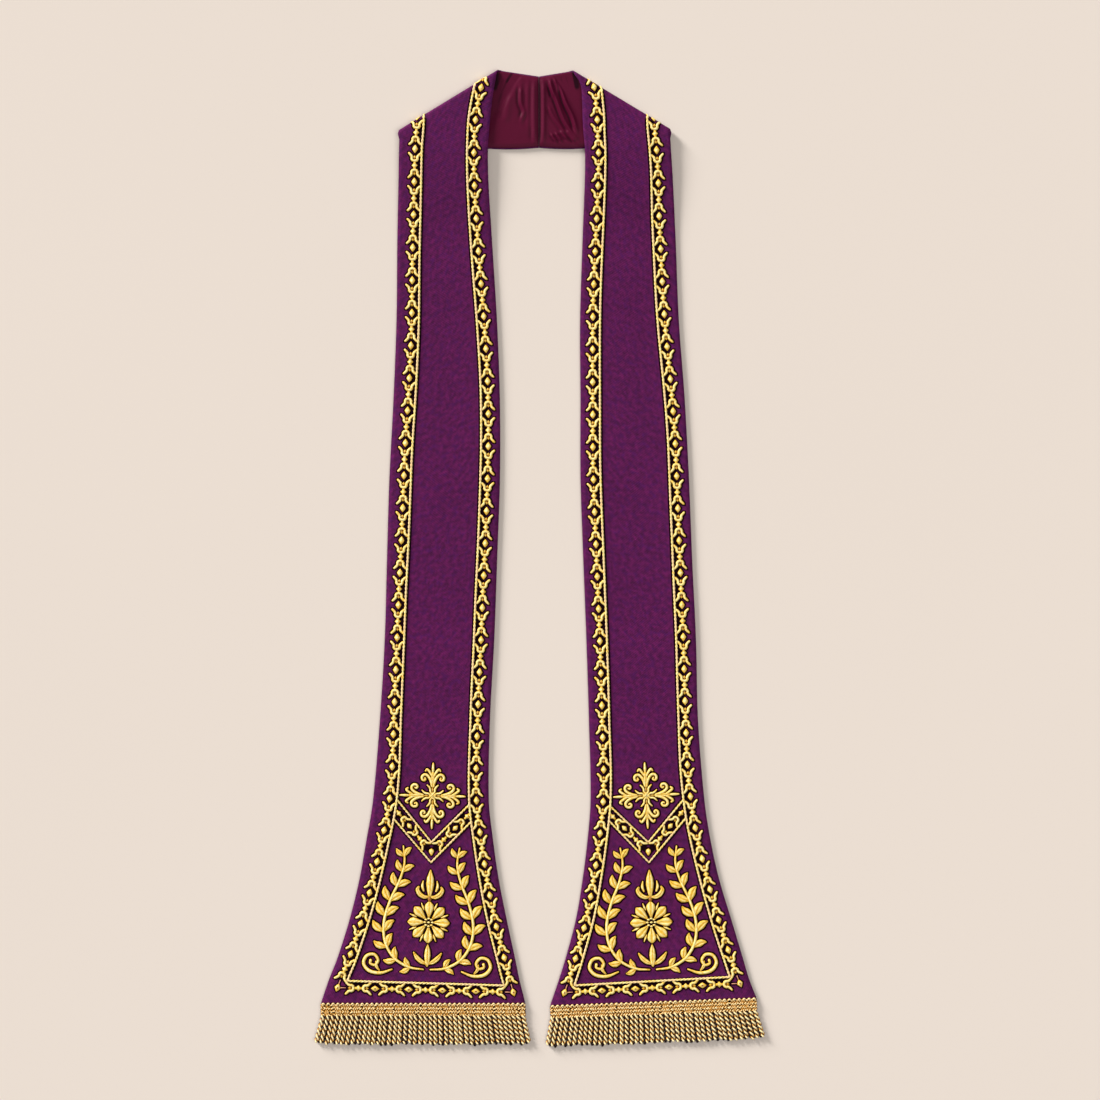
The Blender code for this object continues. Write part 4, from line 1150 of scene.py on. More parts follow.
class Stitches:
    """Raised thread in the plan of the cloth: x, y and height above it, in millimetres."""

    def __init__(self):
        self.points, self.faces, self.thread, self.tone = [], [], [], []
        self.count = 0

    def take(self, points, faces, thread, tone):
        self.points.append(points)
        self.thread.append(thread)
        self.tone.append(tone)
        self.faces += [tuple(self.count + int(i) for i in face) for face in faces]
        self.count += len(points)

    def merge(self, other):
        """Takes in all the stitches gathered in another."""
        points, thread, tone = (np.concatenate(parts) for parts in (other.points, other.thread, other.tone))
        self.take(points, other.faces, thread, tone)

    def stroke(self, stroke, height, grow=0.0, steps=4, place=None):
        """One stroke of stitches. Where it grows, it is the dark outline thread round the gold, which also
        stands in for the shade round it.
        """
        controls = np.array(stroke.line, float)
        line = curve_through(controls, steps) if steps > 1 else controls
        if place:
            line = np.array([place(p) for p in line])
        marks = np.linspace(0, len(controls) - 1, len(line))
        widths = np.interp(marks, range(len(controls)), stroke.widths)
        self.ribbon(line, widths, stroke.section, stroke.tone, height * stroke.height, grow)

    def band(self, line, reach, height, grow):
        """A band of dark outline thread of an even width along a line, as painted shade."""
        self.ribbon(np.array(line), np.full(len(line), reach), LOW, 0.0, height, grow)

    def ribbon(self, line, widths, section, tone, height, grow=0.0):
        """A raised ribbon along a line, pointed at both ends."""
        directions = directions_of(line)
        reach = widths[[0, -1]] * TIP_REACH + grow
        ends = line[0] - directions[0] * reach[0], line[-1] + directions[-1] * reach[1]
        crowns = height * (0.5 + 0.5 * widths / widths.max())
        if grow:
            crowns, section, tone = np.full(len(line), height), LOW, 0.0
        widths = widths + grow
        normals = np.stack([-directions[:, 1], directions[:, 0]], axis=1)
        across, level = np.array(section).T
        plan = line[:, None] + normals[:, None] * (widths[:, None] * across)[..., None]
        heights = STITCH_FOOT + level * (crowns[:, None] - STITCH_FOOT)
        rings = np.concatenate([plan, heights[..., None]], axis=2)
        tips = [[*end, STITCH_FOOT + TIP_LEVEL * height] for end in ends]
        marks = marks_of(line)
        lean = np.abs(across) if section is SPLIT else across * 0.5
        thread = np.concatenate([(marks[:, None] + widths[:, None] * lean).ravel(), marks[[0, -1]]])
        count = len(section)
        last = len(line) * count
        faces = ring_faces(len(line), count)
        for a, b in zip(range(count), (*range(1, count), 0)):
            faces += [(last, a, b), (last + 1, last - count + b, last - count + a)]
        self.take(np.concatenate([rings.reshape(-1, 3), tips]), faces, thread, np.full(last + 2, tone))

    def add_mesh(self, mesh):
        """Takes in a plain mesh that a node tree made, then removes it."""
        values = []
        for name in ("thread", "tone"):
            value = np.zeros(len(mesh.vertices))
            if name in mesh.attributes:
                mesh.attributes[name].data.foreach_get("value", value)
            values.append(value)
        self.take(places_of(mesh), [tuple(p.vertices) for p in mesh.polygons], *values)
        bpy.data.meshes.remove(mesh)

    def mesh(self, name, lay=None, crown_height=1.0, crown_foot=0.0):
        """The gathered stitches as a mesh: in the plan, or laid on the cloth and in metres."""
        points = np.concatenate(self.points)
        mesh = bpy.data.meshes.new(name)
        mesh.from_pydata((lay(points) * MM if lay else points).tolist(), [], self.faces)
        face_outwards(mesh)
        store_values(mesh, "crown", np.clip((points[:, 2] - crown_foot) / crown_height, 0.0, 1.0))
        store_values(mesh, "thread", np.concatenate(self.thread))
        store_values(mesh, "tone", np.concatenate(self.tone))
        return mesh


def title(name):
    return name.replace("_", " ").title()


def geometry_tree(name, **sockets):
    """Turns build(net, given), which makes a shape, into a function that gives the tree, made once.

    Each keyword names an input and its kind, and given has the input's field under the same name.
    The tree takes a guide's geometry, makes the shape's instances real and sets their material.
    """
    kinds = {"geometry": "Geometry", **sockets, "thread": "Material"}

    def decorate(build):
        def tree():
            found = bpy.data.node_groups.get(name)
            if found:
                return found
            made = bpy.data.node_groups.new(name, "GeometryNodeTree")
            for socket, kind in kinds.items():
                made.interface.new_socket(title(socket), in_out="INPUT", socket_type=f"NodeSocket{kind}")
            made.interface.new_socket("Geometry", in_out="OUTPUT", socket_type="NodeSocketGeometry")
            net = Net(made)
            entry = net.add("NodeGroupInput")
            given = SimpleNamespace(**{socket: entry.output(title(socket)) for socket in kinds})
            real = net.add("GeometryNodeRealizeInstances", (build(net, given),))
            done = net.add("GeometryNodeSetMaterial", {"Geometry": real, "Material": given.thread})
            net.add("NodeGroupOutput", (done,))
            return made

        return tree

    return decorate


def store(net, shape, name, value):
    inputs = {"Geometry": shape, "Name": name, "Value": value}
    return net.add("GeometryNodeStoreNamedAttribute", inputs, data_type="FLOAT", domain="POINT")


def named(net, name, kind="FLOAT"):
    return net.add("GeometryNodeInputNamedAttribute", {"Name": name}, data_type=kind)


def stepped_line(net, guide, step):
    """The guide as curves with even steps that store their run, and the run as a field."""
    line = net.add("GeometryNodeMeshToCurve", (guide,))
    line = net.add("GeometryNodeResampleCurve", {"Curve": line, "Length": step}, mode="LENGTH")
    run = net.add("GeometryNodeSplineParameter", output="Length")
    return store(net, line, "thread", run), run


def move(net, shape, offset):
    return net.add("GeometryNodeSetPosition", {"Geometry": shape, "Offset": offset})


def move_beside(net, line, sideways, lift):
    """The line moved by fields, sideways in the plan and up."""
    across = net.vector("CROSS_PRODUCT", (net.add("GeometryNodeInputTangent"), (0.0, 0.0, 1.0)))
    away = net.vector("SCALE", {0: across, "Scale": sideways})
    return move(net, line, net.vector("ADD", (away, net.combine(0.0, 0.0, lift))))


def tube(net, line, radius, sides):
    ring = net.add("GeometryNodeCurvePrimitiveCircle", {"Resolution": sides, "Radius": radius}, mode="RADIUS")
    return net.add("GeometryNodeCurveToMesh", {"Curve": line, "Profile Curve": ring, "Fill Caps": True})


def join(net, shapes):
    return net.add("GeometryNodeJoinGeometry", (shapes,))


def turn_by(net, angle):
    return net.add("FunctionNodeEulerToRotation", (net.combine(0.0, 0.0, angle),))


def points_on(net, line, count):
    return net.add("GeometryNodeCurveToPoints", {"Curve": line, "Count": count}, mode="COUNT")


def set_on(net, points, shape, rotation, scale, **more):
    """Instances of a shape on points; more holds further inputs of the node by their names."""
    inputs = {"Points": points, "Instance": shape, "Rotation": rotation, "Scale": scale}
    inputs.update({title(name): value for name, value in more.items()})
    return net.add("GeometryNodeInstanceOnPoints", inputs)


@geometry_tree("Stitched motifs", motifs="Collection", size="Float")
def motif_tree(net, given):
    """Sets a motif on each guide point, by the point's kind, turn and size."""
    inputs = {"Collection": given.motifs, "Separate Children": True, "Reset Children": True}
    motifs = net.add("GeometryNodeCollectionInfo", inputs)
    size = named(net, "size") * given.size
    scale = net.combine(size, size, 1.0)
    kind = named(net, "kind", "INT")
    turned = turn_by(net, named(net, "turn"))
    return set_on(net, given.geometry, motifs, turned, scale, pick_instance=True, instance_index=kind)


@geometry_tree("Twisted cord", ply_radius="Float", turn_length="Float", step="Float", tone_length="Float")
def cord_tree(net, given):
    """Lays a twisted cord of two plies along each guide line."""
    line, run = stepped_line(net, given.geometry, given.step)
    line = store(net, line, "tone", (run / given.tone_length * (2 * math.pi)).sin() * 0.5 - 0.5)
    radius = given.ply_radius
    aside, up, middle = CORD_WINDING
    plies = []
    for ply in range(2):
        angle = run / given.turn_length * (2 * math.pi) + ply * math.pi
        lift = angle.sin() * radius * up + radius * middle
        laid = move_beside(net, line, angle.cos() * radius * aside, lift)
        plies.append(tube(net, laid, radius, CORD_SIDES))
    return join(net, plies)


@geometry_tree("Leaf pairs", leaf="Object", pairs="Int", angle="Float", bare_foot="Float", bare_tip="Float")
def leaf_tree(net, given):
    """Sets leaves in pairs along a stem, larger in its middle."""
    stem = net.add("GeometryNodeMeshToCurve", (given.geometry,))
    ends = {2: given.bare_foot, 3: 1.0 - given.bare_tip}
    stem = net.add("GeometryNodeTrimCurve", {0: stem, **ends}, mode="FACTOR")
    stem = store(net, stem, "share", net.add("GeometryNodeSplineParameter", output="Factor"))
    points = points_on(net, stem, given.pairs)
    size = LEAF_SIZE + (named(net, "share") * math.pi).sin() * LEAF_GROWTH
    along = {"Vector": points.output("Tangent")}
    facing = net.add("FunctionNodeAlignRotationToVector", along, axis="X", pivot_axis="Z")
    leaf = net.add("GeometryNodeObjectInfo", {"Object": given.leaf, "As Instance": True}, "Geometry")
    leaves = []
    for side in (1.0, -1.0):
        inputs = {"Rotation": facing, "Rotate By": turn_by(net, given.angle * side)}
        turned = net.add("FunctionNodeRotateRotation", inputs, rotation_space="LOCAL")
        leaves.append(set_on(net, points, leaf, turned, net.combine(size, size, 1.0)))
    return join(net, leaves)


@geometry_tree(
    "Fringe strands", strands="Int", strand_length="Float", ply_radius="Float", turn_length="Float",
    spread="Float", first_splay="Float", last_splay="Float", direction="Float", shift="Float", seed="Int",
)
def fringe_tree(net, given):
    """Hangs twisted strands from a line, splayed at its two ends."""
    ends = {"Start": (0.0, 0.0, 0.0), "End": net.combine(given.strand_length, 0.0, 0.0)}
    strand = net.add("GeometryNodeCurvePrimitiveLine", ends, mode="POINTS")
    strand = net.add("GeometryNodeResampleCurve", {"Curve": strand, "Count": STRAND_POINTS}, mode="COUNT")
    run = net.add("GeometryNodeSplineParameter", output="Length")
    strand = store(net, strand, "thread", run)
    close, meet = STRAND_CLOSING
    plies = []
    for ply in range(2):
        angle = run / given.turn_length * (2 * math.pi) + ply * math.pi
        tightness = net.smooth_step(run / given.strand_length, meet, close)
        swing = angle.cos() * given.spread * tightness
        wound = move(net, strand, net.combine(0.0, swing, angle.sin() * given.spread * -STRAND_HEIGHT))
        plies.append(tube(net, wound, given.ply_radius, STRAND_SIDES))
    strand = join(net, plies)
    points = points_on(net, net.add("GeometryNodeMeshToCurve", (given.geometry,)), given.strands)
    index = net.add("GeometryNodeInputIndex")
    share = index / (given.strands - 1.0)
    splay = given.first_splay * (1.0 - share) ** 2.0 + given.last_splay * share**2.0

    def chance(low, high, salt):
        inputs = {2: low, 3: high, "ID": index, "Seed": given.seed + salt}
        return net.add("FunctionNodeRandomValue", inputs, 1, data_type="FLOAT")

    lean = splay / given.strand_length + chance(-STRAND_LEAN, STRAND_LEAN, 1)
    turned = turn_by(net, given.direction + lean)
    along, down, up = (chance(-reach, reach, salt) for salt, reach in enumerate(STRAND_JOGS, 2))
    points = move(net, points, net.combine(along, down - given.shift, up))
    return set_on(net, points, strand, turned, net.combine(chance(*STRAND_SHARES, 5), 1.0, 1.0))


@geometry_tree(
    "Braid row",
    period="Float", amplitude="Float", lift="Float", thread_radius="Float", step="Float", uneven="Float",
)
def braid_tree(net, given):
    """Plaits three threads along a line."""
    line, run = stepped_line(net, given.geometry, given.step)
    threads = []
    for strand in range(3):
        wander = net.noise(net.add("GeometryNodeInputPosition"), BRAID_WANDER)
        angle = (run / given.period + wander * given.uneven) * (2 * math.pi) + strand * (2 * math.pi / 3)
        laid = move_beside(net, line, angle.sin() * given.amplitude, (angle * 2.0).sin() * given.lift)
        threads.append(tube(net, laid, given.thread_radius, CORD_SIDES))
    return join(net, threads)


def grown(guide, tree, **values):
    """The plain mesh that a tree makes on a guide object, which is then removed."""
    modifier = guide.modifiers.new(tree.name, "NODES")
    modifier.node_group = tree
    keys = {item.name: item.identifier for item in tree.interface.items_tree if item.in_out == "INPUT"}
    for name, value in values.items():
        modifier[keys[title(name)]] = value
    graph = bpy.context.evaluated_depsgraph_get()
    shape = guide.evaluated_get(graph)
    mesh = bpy.data.meshes.new_from_object(shape, preserve_all_data_layers=True, depsgraph=graph)
    drop(guide)
    return mesh


def drop(obj):
    data = obj.data
    bpy.data.objects.remove(obj)
    bpy.data.meshes.remove(data)


def guide_object(points, edges=()):
    mesh = bpy.data.meshes.new("guide")
    mesh.from_pydata([tuple(float(c) for c in (*p, 0.0)[:3]) for p in points], edges, [])
    guide = bpy.data.objects.new("guide", mesh)
    bpy.context.scene.collection.objects.link(guide)
    return guide


def guide_lines(lines):
    """A guide object that holds open lines."""
    points, edges = [], []
    for line in lines:
        edges += [(k, k + 1) for k in range(len(points), len(points) + len(line) - 1)]
        points += list(line)
    return guide_object(points, edges)


def guide_places(places):
    """A guide object of points, each with its kind of motif, turn and size."""
    guide = guide_object([place.at for place in places])
    for name, kind in (("kind", "INT"), ("turn", "FLOAT"), ("size", "FLOAT")):
        store_values(guide.data, name, [getattr(place, name) for place in places], kind)
    return guide


def set_motif(name, line, distance, flip=0.0, size=1.0):
    """The guide point of a motif at a distance along a line, or flipped to point back along it."""
    at, direction = along_line(line, distance)
    return Place(at, KIND[name], heading(direction) + flip, size)


def chain_places(line, origins, beads, eyed=(), bare=()):
    """Guide points of a chain: diamonds with a tulip on each side, and beads between them."""
    places = []
    for k, origin in enumerate(origins):
        if k not in bare:
            places.append(set_motif("eyed_diamond" if k in eyed else "diamond", line, origin))
        if k > 0:
            places.append(set_motif("tulip", line, origin, math.pi))
        if k < len(origins) - 1 or len(beads) >= len(origins):
            places.append(set_motif("tulip", line, origin))
    return places + [set_motif("bead", line, distance) for distance in beads]


def side_places(half, edge):
    """Guide points of a side border, from the corner diamond over the fold."""
    line = half.side_line(edge, "chain")
    length = marks_of(line)[-1]
    pitch, sag = SIDE_PITCHES[half.name, edge]
    even = CORNER_LINK + np.arange(int(length / pitch) + 2) * pitch

    def drawn_down(distances):
        return distances - sag * 4 * distances / length * (1 - distances / length)

    def goes_under(place):
        """Whether the middle of the motif comes too far past the fold."""
        reach = TULIP_MIDDLE if place.kind == KIND["tulip"] else 0.0
        middle = place.at + np.array((math.cos(place.turn), math.sin(place.turn))) * reach
        return half.past_fold(middle) >= PAST_FOLD_MOTIF

    places = chain_places(line, drawn_down(even), drawn_down(even + pitch / 2), bare=(0,))
    places += [set_motif(name, line, 0.0) for name in ("eyed_diamond", "tie")]
    return [place for place in places if not goes_under(place)]


def hem_places(half):
    """Guide points of the border along the hem, between the corner diamonds."""
    line = np.array([half.corner(edge, "chain") for edge in EDGES])
    length = marks_of(line)[-1]
    pitch = (length - 2 * CORNER_LINK) / HEM_UNITS
    origins = CORNER_LINK + np.arange(HEM_UNITS + 1) * pitch
    places = chain_places(line, origins, origins[:-1] + pitch / 2, eyed=range(HEM_UNITS), bare=(0, HEM_UNITS))
    return places + [set_motif("tie", line, 0.0), set_motif("tie", line, length, math.pi)]


def v_places(half):
    """Guide points of the chain between the V lines."""
    middle = np.mean(half.v_lines(), axis=0)
    places = []
    for line in (middle[[1, 0]], middle[[1, 2]]):
        places += [set_motif(name, line, distance, flip, size) for name, distance, flip, size in V_MOTIFS]
    return places


def thread_of(grow):
    """Material and height of stitches: where they grow, the dark outline thread that also stands in for the
    shade round the gold, otherwise gold.
    """
    sizes = bpy.context.scene.stole_sizes
    if grow:
        return material("outline_thread"), sizes.outline_height / MM
    return material("gold_satin_stitch"), sizes.stitch_height / MM


def chain_mesh(places, grow):
    """Motifs set on their guide points by the node tree, as stitches in the plan."""
    thread, height = thread_of(grow)
    group = bpy.data.collections.new("motifs")
    bpy.context.scene.collection.children.link(group)
    for index, (name, strokes) in enumerate(MOTIFS):
        stitches = Stitches()
        for stroke in strokes:
            stitches.stroke(stroke, height, grow, steps=1)
        group.objects.link(bpy.data.objects.new(f"motif_{index}_{name}", stitches.mesh(name)))
    mesh = grown(guide_places(places), motif_tree(), motifs=group, size=1.0, thread=thread)
    for obj in list(group.objects):
        drop(obj)
    bpy.data.collections.remove(group)
    return mesh


def leaves_mesh(stems, grow):
    """Leaves set in pairs along the stems."""
    thread, height = thread_of(grow)
    stitches = Stitches()
    stitches.stroke(LEAF, height, grow, steps=2)
    leaf = bpy.data.objects.new("leaf", stitches.mesh("leaf"))
    mesh = grown(guide_lines(stems), leaf_tree(), leaf=leaf, thread=thread, **LEAVES)
    drop(leaf)
    return mesh


def cord_mesh(lines, ply):
    """The twisted gold cord laid along lines."""
    sizes = bpy.context.scene.stole_sizes
    return grown(
        guide_lines(lines),
        cord_tree(),
        ply_radius=sizes.cord_ply / MM * ply,
        turn_length=sizes.cord_twist / MM,
        step=CORD_STEP,
        tone_length=CORD_TONE_LENGTH,
        thread=material("gold_satin_stitch"),
    )


def border_shade_bands(half):
    """A band of painted shade, in the dark outline thread, between the border chain and the gold line, clear
    of the hem's corners.
    """
    sides = [
        np.mean([along_shares(half.side_line(edge, column), SHADE_BAND_STEPS) for column in HEM_INSETS], axis=0)
        for edge in EDGES
    ]
    outer, inner = sides[0][0], sides[1][0]
    gap = unit(inner - outer) * SHADE_BAND_GAP
    lines = [side[marks_of(side) > SHADE_BAND_GAP] for side in sides] + [np.array([outer + gap, inner - gap])]
    return [(line, SHADE_BAND_REACH) for line in lines]


def on_plan(x, y):
    return np.array((x, y))


def placed(strokes, to_plan, centre=(0.0, 0.0), turn=0.0, size=1.0, flip=1):
    """Strokes with the function that sets each on the plan: flipped, sized, turned and moved first."""
    cos, sin = math.cos(turn) * size, math.sin(turn) * size

    def put(p):
        x, y = p[0], p[1] * flip
        return to_plan(centre[0] + x * cos - y * sin, centre[1] + x * sin + y * cos)

    return [(stroke, put) for stroke in strokes]


def cross_strokes(place):
    """Strokes of the whole cross: four arms, each with its side strokes mirrored."""
    found = []
    for quarter in range(4):
        turn = math.radians(place.turn + 90 * quarter)
        for flip, strokes in ((1, ARM_AXIS + ARM_SIDE), (-1, ARM_SIDE)):
            found += placed(strokes, on_plan, (place.x, place.y), turn, place.size, flip)
    return found


def rosette_strokes(half):
    """Petals and sepals round the rosette's middle, knots round its eye and one knot in it."""
    found = []
    for stroke, first in ((PETAL, 0.0), (SEPAL, 0.5)):
        for k in range(PETALS):
            turn = math.pi / 2 - 2 * math.pi * (k + first) / PETALS
            found += placed([stroke], half.panel_point, ROSETTE_CENTRE, turn, flip=-1)
    for k in range(KNOTS + 1):
        radius = KNOT_RING if k < KNOTS else 0.0
        angle = 2 * math.pi * k / KNOTS
        centre = (ROSETTE_CENTRE[0] + radius * math.sin(angle), ROSETTE_CENTRE[1] + radius * math.cos(angle))
        found += placed([KNOT], half.panel_point, centre)
    return found


def mirrored_strokes(half, axis, side):
    """Strokes on the panel's middle line, and side strokes on both sides of it."""
    return placed(axis + side, half.panel_point) + placed(side, half.panel_point, turn=math.pi, flip=-1)


Work = namedtuple("Work", "nodes strokes cords places stems grounds ply", defaults=((), (), (), (), (), 1.0))


def work_of(half):
    """All the needlework of a half, piece by piece."""
    cord = np.concatenate([half.side_line("outer", "cord")[::-1], half.side_line("inner", "cord")])
    upper, lower = half.v_lines()
    outer, apex, inner = (upper + lower) / 2
    # Band of painted shade in the gap between the V lines, clear of their ends.
    v_shade_band = [end + unit(apex - end) * V_SHADE_BAND_GAP for end in (outer, inner)]
    v_shade_band.insert(1, apex)
    bud = Stroke([(upper[1][0], apex[1] + above) for above in V_BUD_LEVELS], V_BUD_WIDTHS)
    stems = [
        curve_through([half.panel_point(u * mirror, v) for u, v in BRANCH_ROUTE], STEM_STEPS)
        for mirror in (half.side, -half.side)
    ]
    return {
        "cord_frame": Work(["cord_frame"], cords=[cord], grounds=border_shade_bands(half)),
        "border_outer": Work(["border_outer"], places=side_places(half, "outer")),
        "border_inner": Work(["border_inner"], places=side_places(half, "inner")),
        "border_hem": Work(["border_hem"], places=hem_places(half)),
        "v_band": Work(
            ["v_cord_upper", "v_cord_lower", "v_chain"],
            strokes=[(bud, None)],
            cords=[upper, lower],
            places=v_places(half),
            grounds=[(np.array(v_shade_band), V_SHADE_BAND_REACH)],
            ply=V_CORD_PLY,
        ),
        "cross": Work(["cross"], cross_strokes(CROSSES[half.name])),
        "rosette": Work(["rosette"], rosette_strokes(half)),
        "branches": Work(
            ["branch_outer", "branch_inner"],
            [(Stroke(stem[::STEM_STEPS], STEM_WIDTHS), None) for stem in stems],
            stems=stems,
        ),
        "sprays": Work(
            ["trefoil", "bud"], mirrored_strokes(half, TREFOIL_AXIS + BUD_AXIS, TREFOIL_SIDE + BUD_SIDE)
        ),
        "tendrils": Work(
            ["tendril_outer", "tendril_inner"], mirrored_strokes(half, (), (TENDRIL, TENDRIL_LEAF))
        ),
    }


def gather(work, grow):
    """The stitches of one piece of needlework, or of the dark outline and painted shade round it."""
    sizes = bpy.context.scene.stole_sizes
    _, height = thread_of(grow)
    stitches = Stitches()
    for stroke, put in work.strokes:
        stitches.stroke(stroke, height, grow, place=put)
    if work.places:
        stitches.add_mesh(chain_mesh(work.places, grow))
    if work.stems:
        stitches.add_mesh(leaves_mesh(work.stems, grow))
    if work.cords and not grow:
        stitches.add_mesh(cord_mesh(work.cords, work.ply))
    if grow:
        for cord in work.cords:
            stitches.band(cord, 2.0 * sizes.cord_ply / MM, height, grow)
        for line, reach in work.grounds:
            stitches.band(line, reach, height * SHADE_BAND_LEVEL, grow)
    return stitches


def make_needlework(half):
    """The gold needlework of a half, piece by piece, and one piece of the dark outline thread and painted
    shade round it all.
    """
    sizes = bpy.context.scene.stole_sizes
    outline = Stitches()
    for name, work in work_of(half).items():
        mesh = gather(work, 0.0).mesh(f"{half.name}_{name}", half.lay, sizes.stitch_height / MM)
        nodes = [f"{half.name}_{node}" for node in work.nodes]
        link_piece(f"{half.name}_{name}_stitched", mesh, "gold_satin_stitch", nodes)
        outline.merge(gather(work, sizes.outline_width / MM))
    mesh = outline.mesh(f"{half.name}_outline", half.lay, sizes.outline_height / MM)
    link_piece(f"{half.name}_outline_stitched", mesh, "outline_thread")


def unchanged(points):
    return points


def make_strands(half):
    """Strands in two rows, the lower one in shade."""
    sizes = bpy.context.scene.stole_sizes
    for row in STRAND_ROWS:
        line = half.hem_line(ROOTS_BELOW, ROOTS_Z + row.level, STRAND_INSET + row.aside)
        shape = grown(
            guide_lines([line]),
            fringe_tree(),
            strands=sizes.strands - row.fewer,
            strand_length=FRINGE_HEIGHT - HEADING_HEIGHT,
            ply_radius=sizes.strand_ply / MM * row.ply,
            spread=sizes.strand_spread / MM,
            turn_length=sizes.strand_twist / MM * row.twist,
            first_splay=SPLAY_OUTER * half.side,
            last_splay=-SPLAY_INNER * half.side,
            direction=heading(half.down_hem),
            shift=row.shift,
            seed=row.seed,
            thread=material(row.material),
        )
        stitches = Stitches()
        stitches.add_mesh(shape)
        mesh = stitches.mesh(f"{half.name}_{row.name}", unchanged, STRAND_CROWN, row.foot)
        nodes = [f"{half.name}_fringe"] if row.name == "strands" else ()
        link_piece(f"{half.name}_{row.name}", mesh, row.material, nodes)


def make_heading(half):
    """Heading braid: plaited rows with small loops along their upper edge."""
    stitches = Stitches()
    for below in BRAID_ROWS:
        guide = guide_lines([half.hem_line(below, BRAID_Z)])
        stitches.add_mesh(grown(guide, braid_tree(), thread=material("twisted_fringe"), **BRAID))
    first, last = (end[:2] for end in half.hem_line(LOOP_DROP))
    width = np.linalg.norm(last - first)
    count = int(width / LOOP_PITCH)
    turn = np.array((half.along_hem, -half.down_hem))
    for k in range(count):
        middle = first + half.along_hem * width / count * (k + 0.5)
        stitches.stroke(LOOP, LOOP_TOP, place=lambda p: middle + p @ turn)
    mesh = stitches.mesh(f"{half.name}_heading", unchanged, HEADING_CROWN, HEADING_FOOT)
    link_piece(f"{half.name}_heading_braid", mesh, "twisted_fringe")


def make_backing(half):
    """The strip under the heading braid, in which the strands' roots are fused."""
    built = bmesh.new()
    low, high = BACKING_LEVELS
    top, bottom = BACKING_TOP, BACKING_TOP + ROOTS_BELOW
    corners = [half.hem_line(*side) for side in ((top, low), (bottom, low), (bottom, high), (top, high))]
    rings = [[built.verts.new(corner[end] * MM) for corner in corners] for end in (0, 1)]
    for i, j in zip(range(4), (1, 2, 3, 0)):
        built.faces.new((rings[0][i], rings[0][j], rings[1][j], rings[1][i]))
    for ring in rings:
        built.faces.new(ring)
    bmesh.ops.recalc_face_normals(built, faces=built.faces)
    rounding = {"offset": BACKING_ROUND * MM, "segments": BACKING_ROUND_STEPS, "affect": "EDGES"}
    bmesh.ops.bevel(built, geom=list(built.edges), **rounding)
    mesh = bpy.data.meshes.new(f"{half.name}_backing")
    built.to_mesh(mesh)
    built.free()
    # The strip wears the fringe's painted shade, dark behind the heading braid.
    link_piece(f"{half.name}_fringe_backing", mesh, "fringe_shade")


def make_fringe(half):
    make_strands(half)
    make_heading(half)
    make_backing(half)


def make_neck_seam():
    """Overcast stitches that join the two halves of the lining at the centre back."""
    run = np.linspace(CENTRE_BACK_TOP_Y - SEAM_ENDS, CENTRE_BACK_LOW_Y + SEAM_ENDS, SEAM_STITCHES + 1)
    stitches = Stitches()
    for top, low in zip(run, run[1:]):
        left, right = CENTRE_BACK_X - SEAM_REACH, CENTRE_BACK_X + SEAM_REACH
        line = ((left, top), (CENTRE_BACK_X, (top + low) / 2), (right, low))
        stitches.stroke(Stroke(line, SEAM_WIDTHS), SEAM_HEIGHT, steps=1)
    mesh = stitches.mesh("neck_seam", lambda points: points + np.array((0.0, 0.0, SEAM_Z)), SEAM_HEIGHT)
    link_piece("neck_seam_stitched", mesh, "seam_thread")


class PieceOperator:
    """Makes one kind of piece for each half of the stole."""

    def execute(self, context):
        for sizes in HALVES:
            self.make(Half(sizes))
        return {"FINISHED"}


class STOLE_OT_cloth(PieceOperator, bpy.types.Operator):
    """Make the purple face cloth of both halves"""

    bl_idname = "stole.cloth"
    bl_label = "Face cloth"
    make = staticmethod(make_face)


class STOLE_OT_lining(PieceOperator, bpy.types.Operator):
    """Make the satin lining of both halves, with the creases of its neck part"""

    bl_idname = "stole.lining"
    bl_label = "Lining"
    make = staticmethod(make_lining)


class STOLE_OT_seam(bpy.types.Operator):
    """Make the seam that joins the lining's halves at the centre back"""

    bl_idname = "stole.seam"
    bl_label = "Neck seam"

    def execute(self, context):
        make_neck_seam()
        return {"FINISHED"}


class STOLE_OT_needlework(PieceOperator, bpy.types.Operator):
    """Make the gold borders, V bands, crosses and end ornaments and the dark thread round them"""

    bl_idname = "stole.needlework"
    bl_label = "Needlework"
    make = staticmethod(make_needlework)


class STOLE_OT_fringe(PieceOperator, bpy.types.Operator):
    """Make the twisted fringes with their heading braids"""

    bl_idname = "stole.fringe"
    bl_label = "Fringe"
    make = staticmethod(make_fringe)


def sun_light(name, place, strength, spread, colour):
    """A far light that shines from its place on the middle."""
    light = bpy.data.lights.new(name, "SUN")
    light.energy, light.angle, light.color = strength, math.radians(spread), colour
    obj = bpy.data.objects.new(name, light)
    bpy.context.scene.collection.objects.link(obj)
    obj.location = place
    obj.rotation_euler = (-Vector(place)).to_track_quat("-Z", "Y").to_euler()


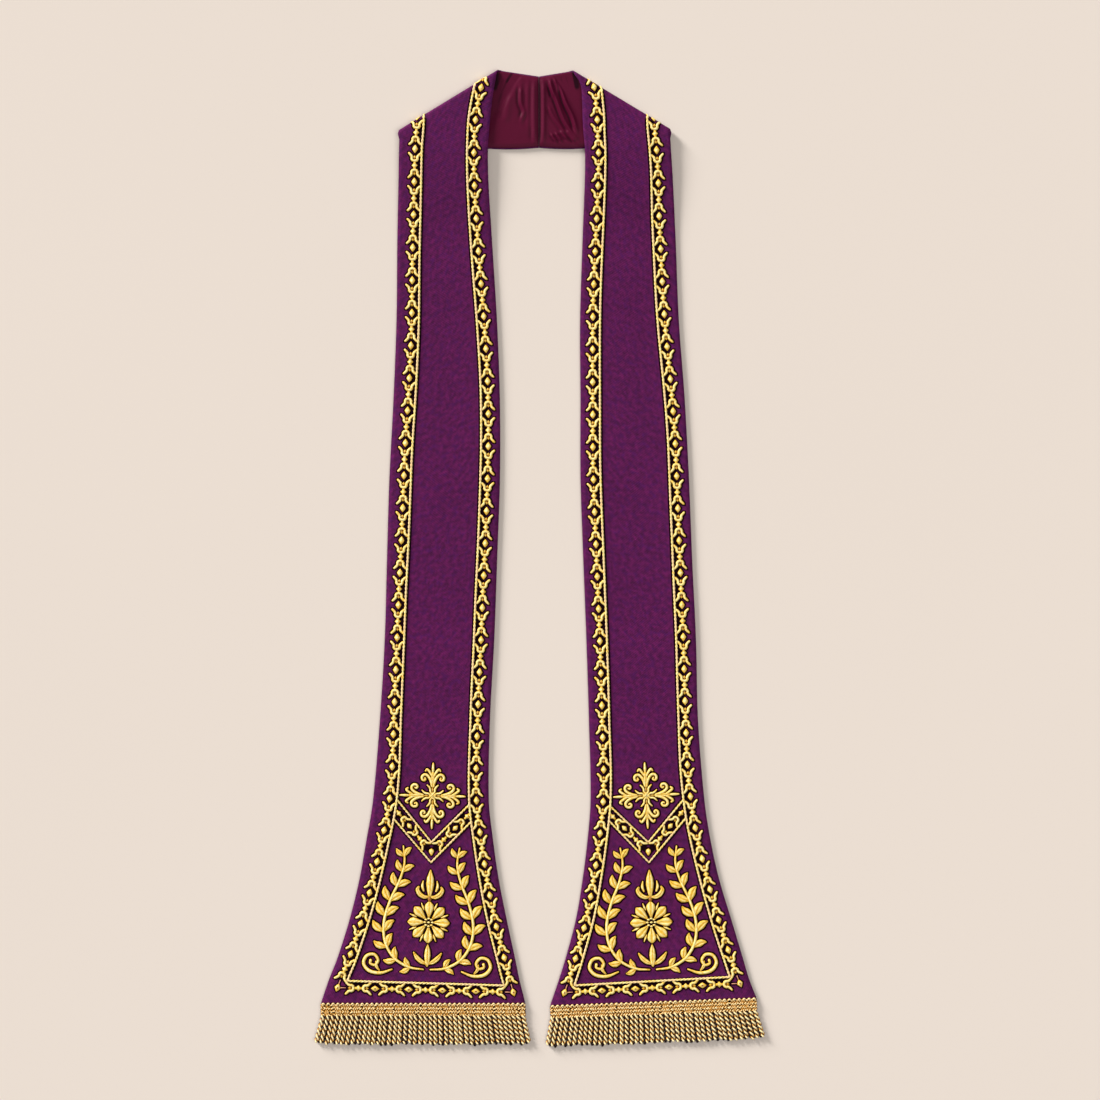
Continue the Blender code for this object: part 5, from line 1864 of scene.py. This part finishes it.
class STOLE_OT_stage(bpy.types.Operator):
    """Make the floor, the studio light and the camera"""

    bl_idname = "stole.stage"
    bl_label = "Stage"

    def execute(self, context):
        scene = context.scene
        mesh = bpy.data.meshes.new("floor")
        signs = ((-1, -1), (1, -1), (1, 1), (-1, 1))
        corners = [(x * FLOOR_REACH, y * FLOOR_REACH, FLOOR_Z) for x, y in signs]
        mesh.from_pydata(corners, [], [(0, 1, 2, 3)])
        mesh.materials.append(material("pale_floor"))
        floor = bpy.data.objects.new("floor", mesh)
        scene.collection.objects.link(floor)

        for sun in SUNS:
            sun_light(*sun)
        scene.world = scene.world or bpy.data.worlds.new("studio")
        scene.world.use_nodes = True
        background = scene.world.node_tree.nodes["Background"]
        background.inputs["Color"].default_value = SURROUND_COLOUR
        background.inputs["Strength"].default_value = SURROUND_STRENGTH

        lens = bpy.data.cameras.new("camera")
        lens.lens, lens.sensor_width = LENS, SENSOR
        camera = bpy.data.objects.new("camera", lens)
        camera.location = (*FRAME_CENTRE, FRAME_WIDTH * LENS / SENSOR + CAMERA_LIFT)
        scene.collection.objects.link(camera)
        scene.camera = camera
        scene.view_settings.view_transform = "Standard"
        return {"FINISHED"}


PIECE_OPERATORS = (STOLE_OT_cloth, STOLE_OT_lining, STOLE_OT_seam, STOLE_OT_needlework, STOLE_OT_fringe)
OPERATORS = (*PIECE_OPERATORS, STOLE_OT_stage)


class STOLE_PT_panel(bpy.types.Panel):
    """Lists the stole's sizes, colours and pieces"""

    bl_label = "Clerical stole"
    bl_idname = "STOLE_PT_panel"
    bl_space_type = "VIEW_3D"
    bl_region_type = "UI"
    bl_category = "Stole"

    def draw(self, context):
        for group in (context.scene.stole_sizes, context.scene.stole_colours):
            box = self.layout.box()
            for name in group.__annotations__:
                box.prop(group, name)
        for operator in OPERATORS:
            self.layout.operator(operator.bl_idname)


CLASSES = (StoleSizes, StoleColours, *OPERATORS, STOLE_PT_panel)


def register():
    for cls in CLASSES:
        bpy.utils.register_class(cls)
    bpy.types.Scene.stole_sizes = PointerProperty(type=StoleSizes)
    bpy.types.Scene.stole_colours = PointerProperty(type=StoleColours)


def unregister():
    del bpy.types.Scene.stole_colours
    del bpy.types.Scene.stole_sizes
    for cls in reversed(CLASSES):
        bpy.utils.unregister_class(cls)


def main():
    register()
    bpy.ops.stole.cloth()
    bpy.ops.stole.lining()
    bpy.ops.stole.seam()
    bpy.ops.stole.needlework()
    bpy.ops.stole.fringe()
    bpy.ops.stole.stage()


if __name__ == "__main__":
    main()
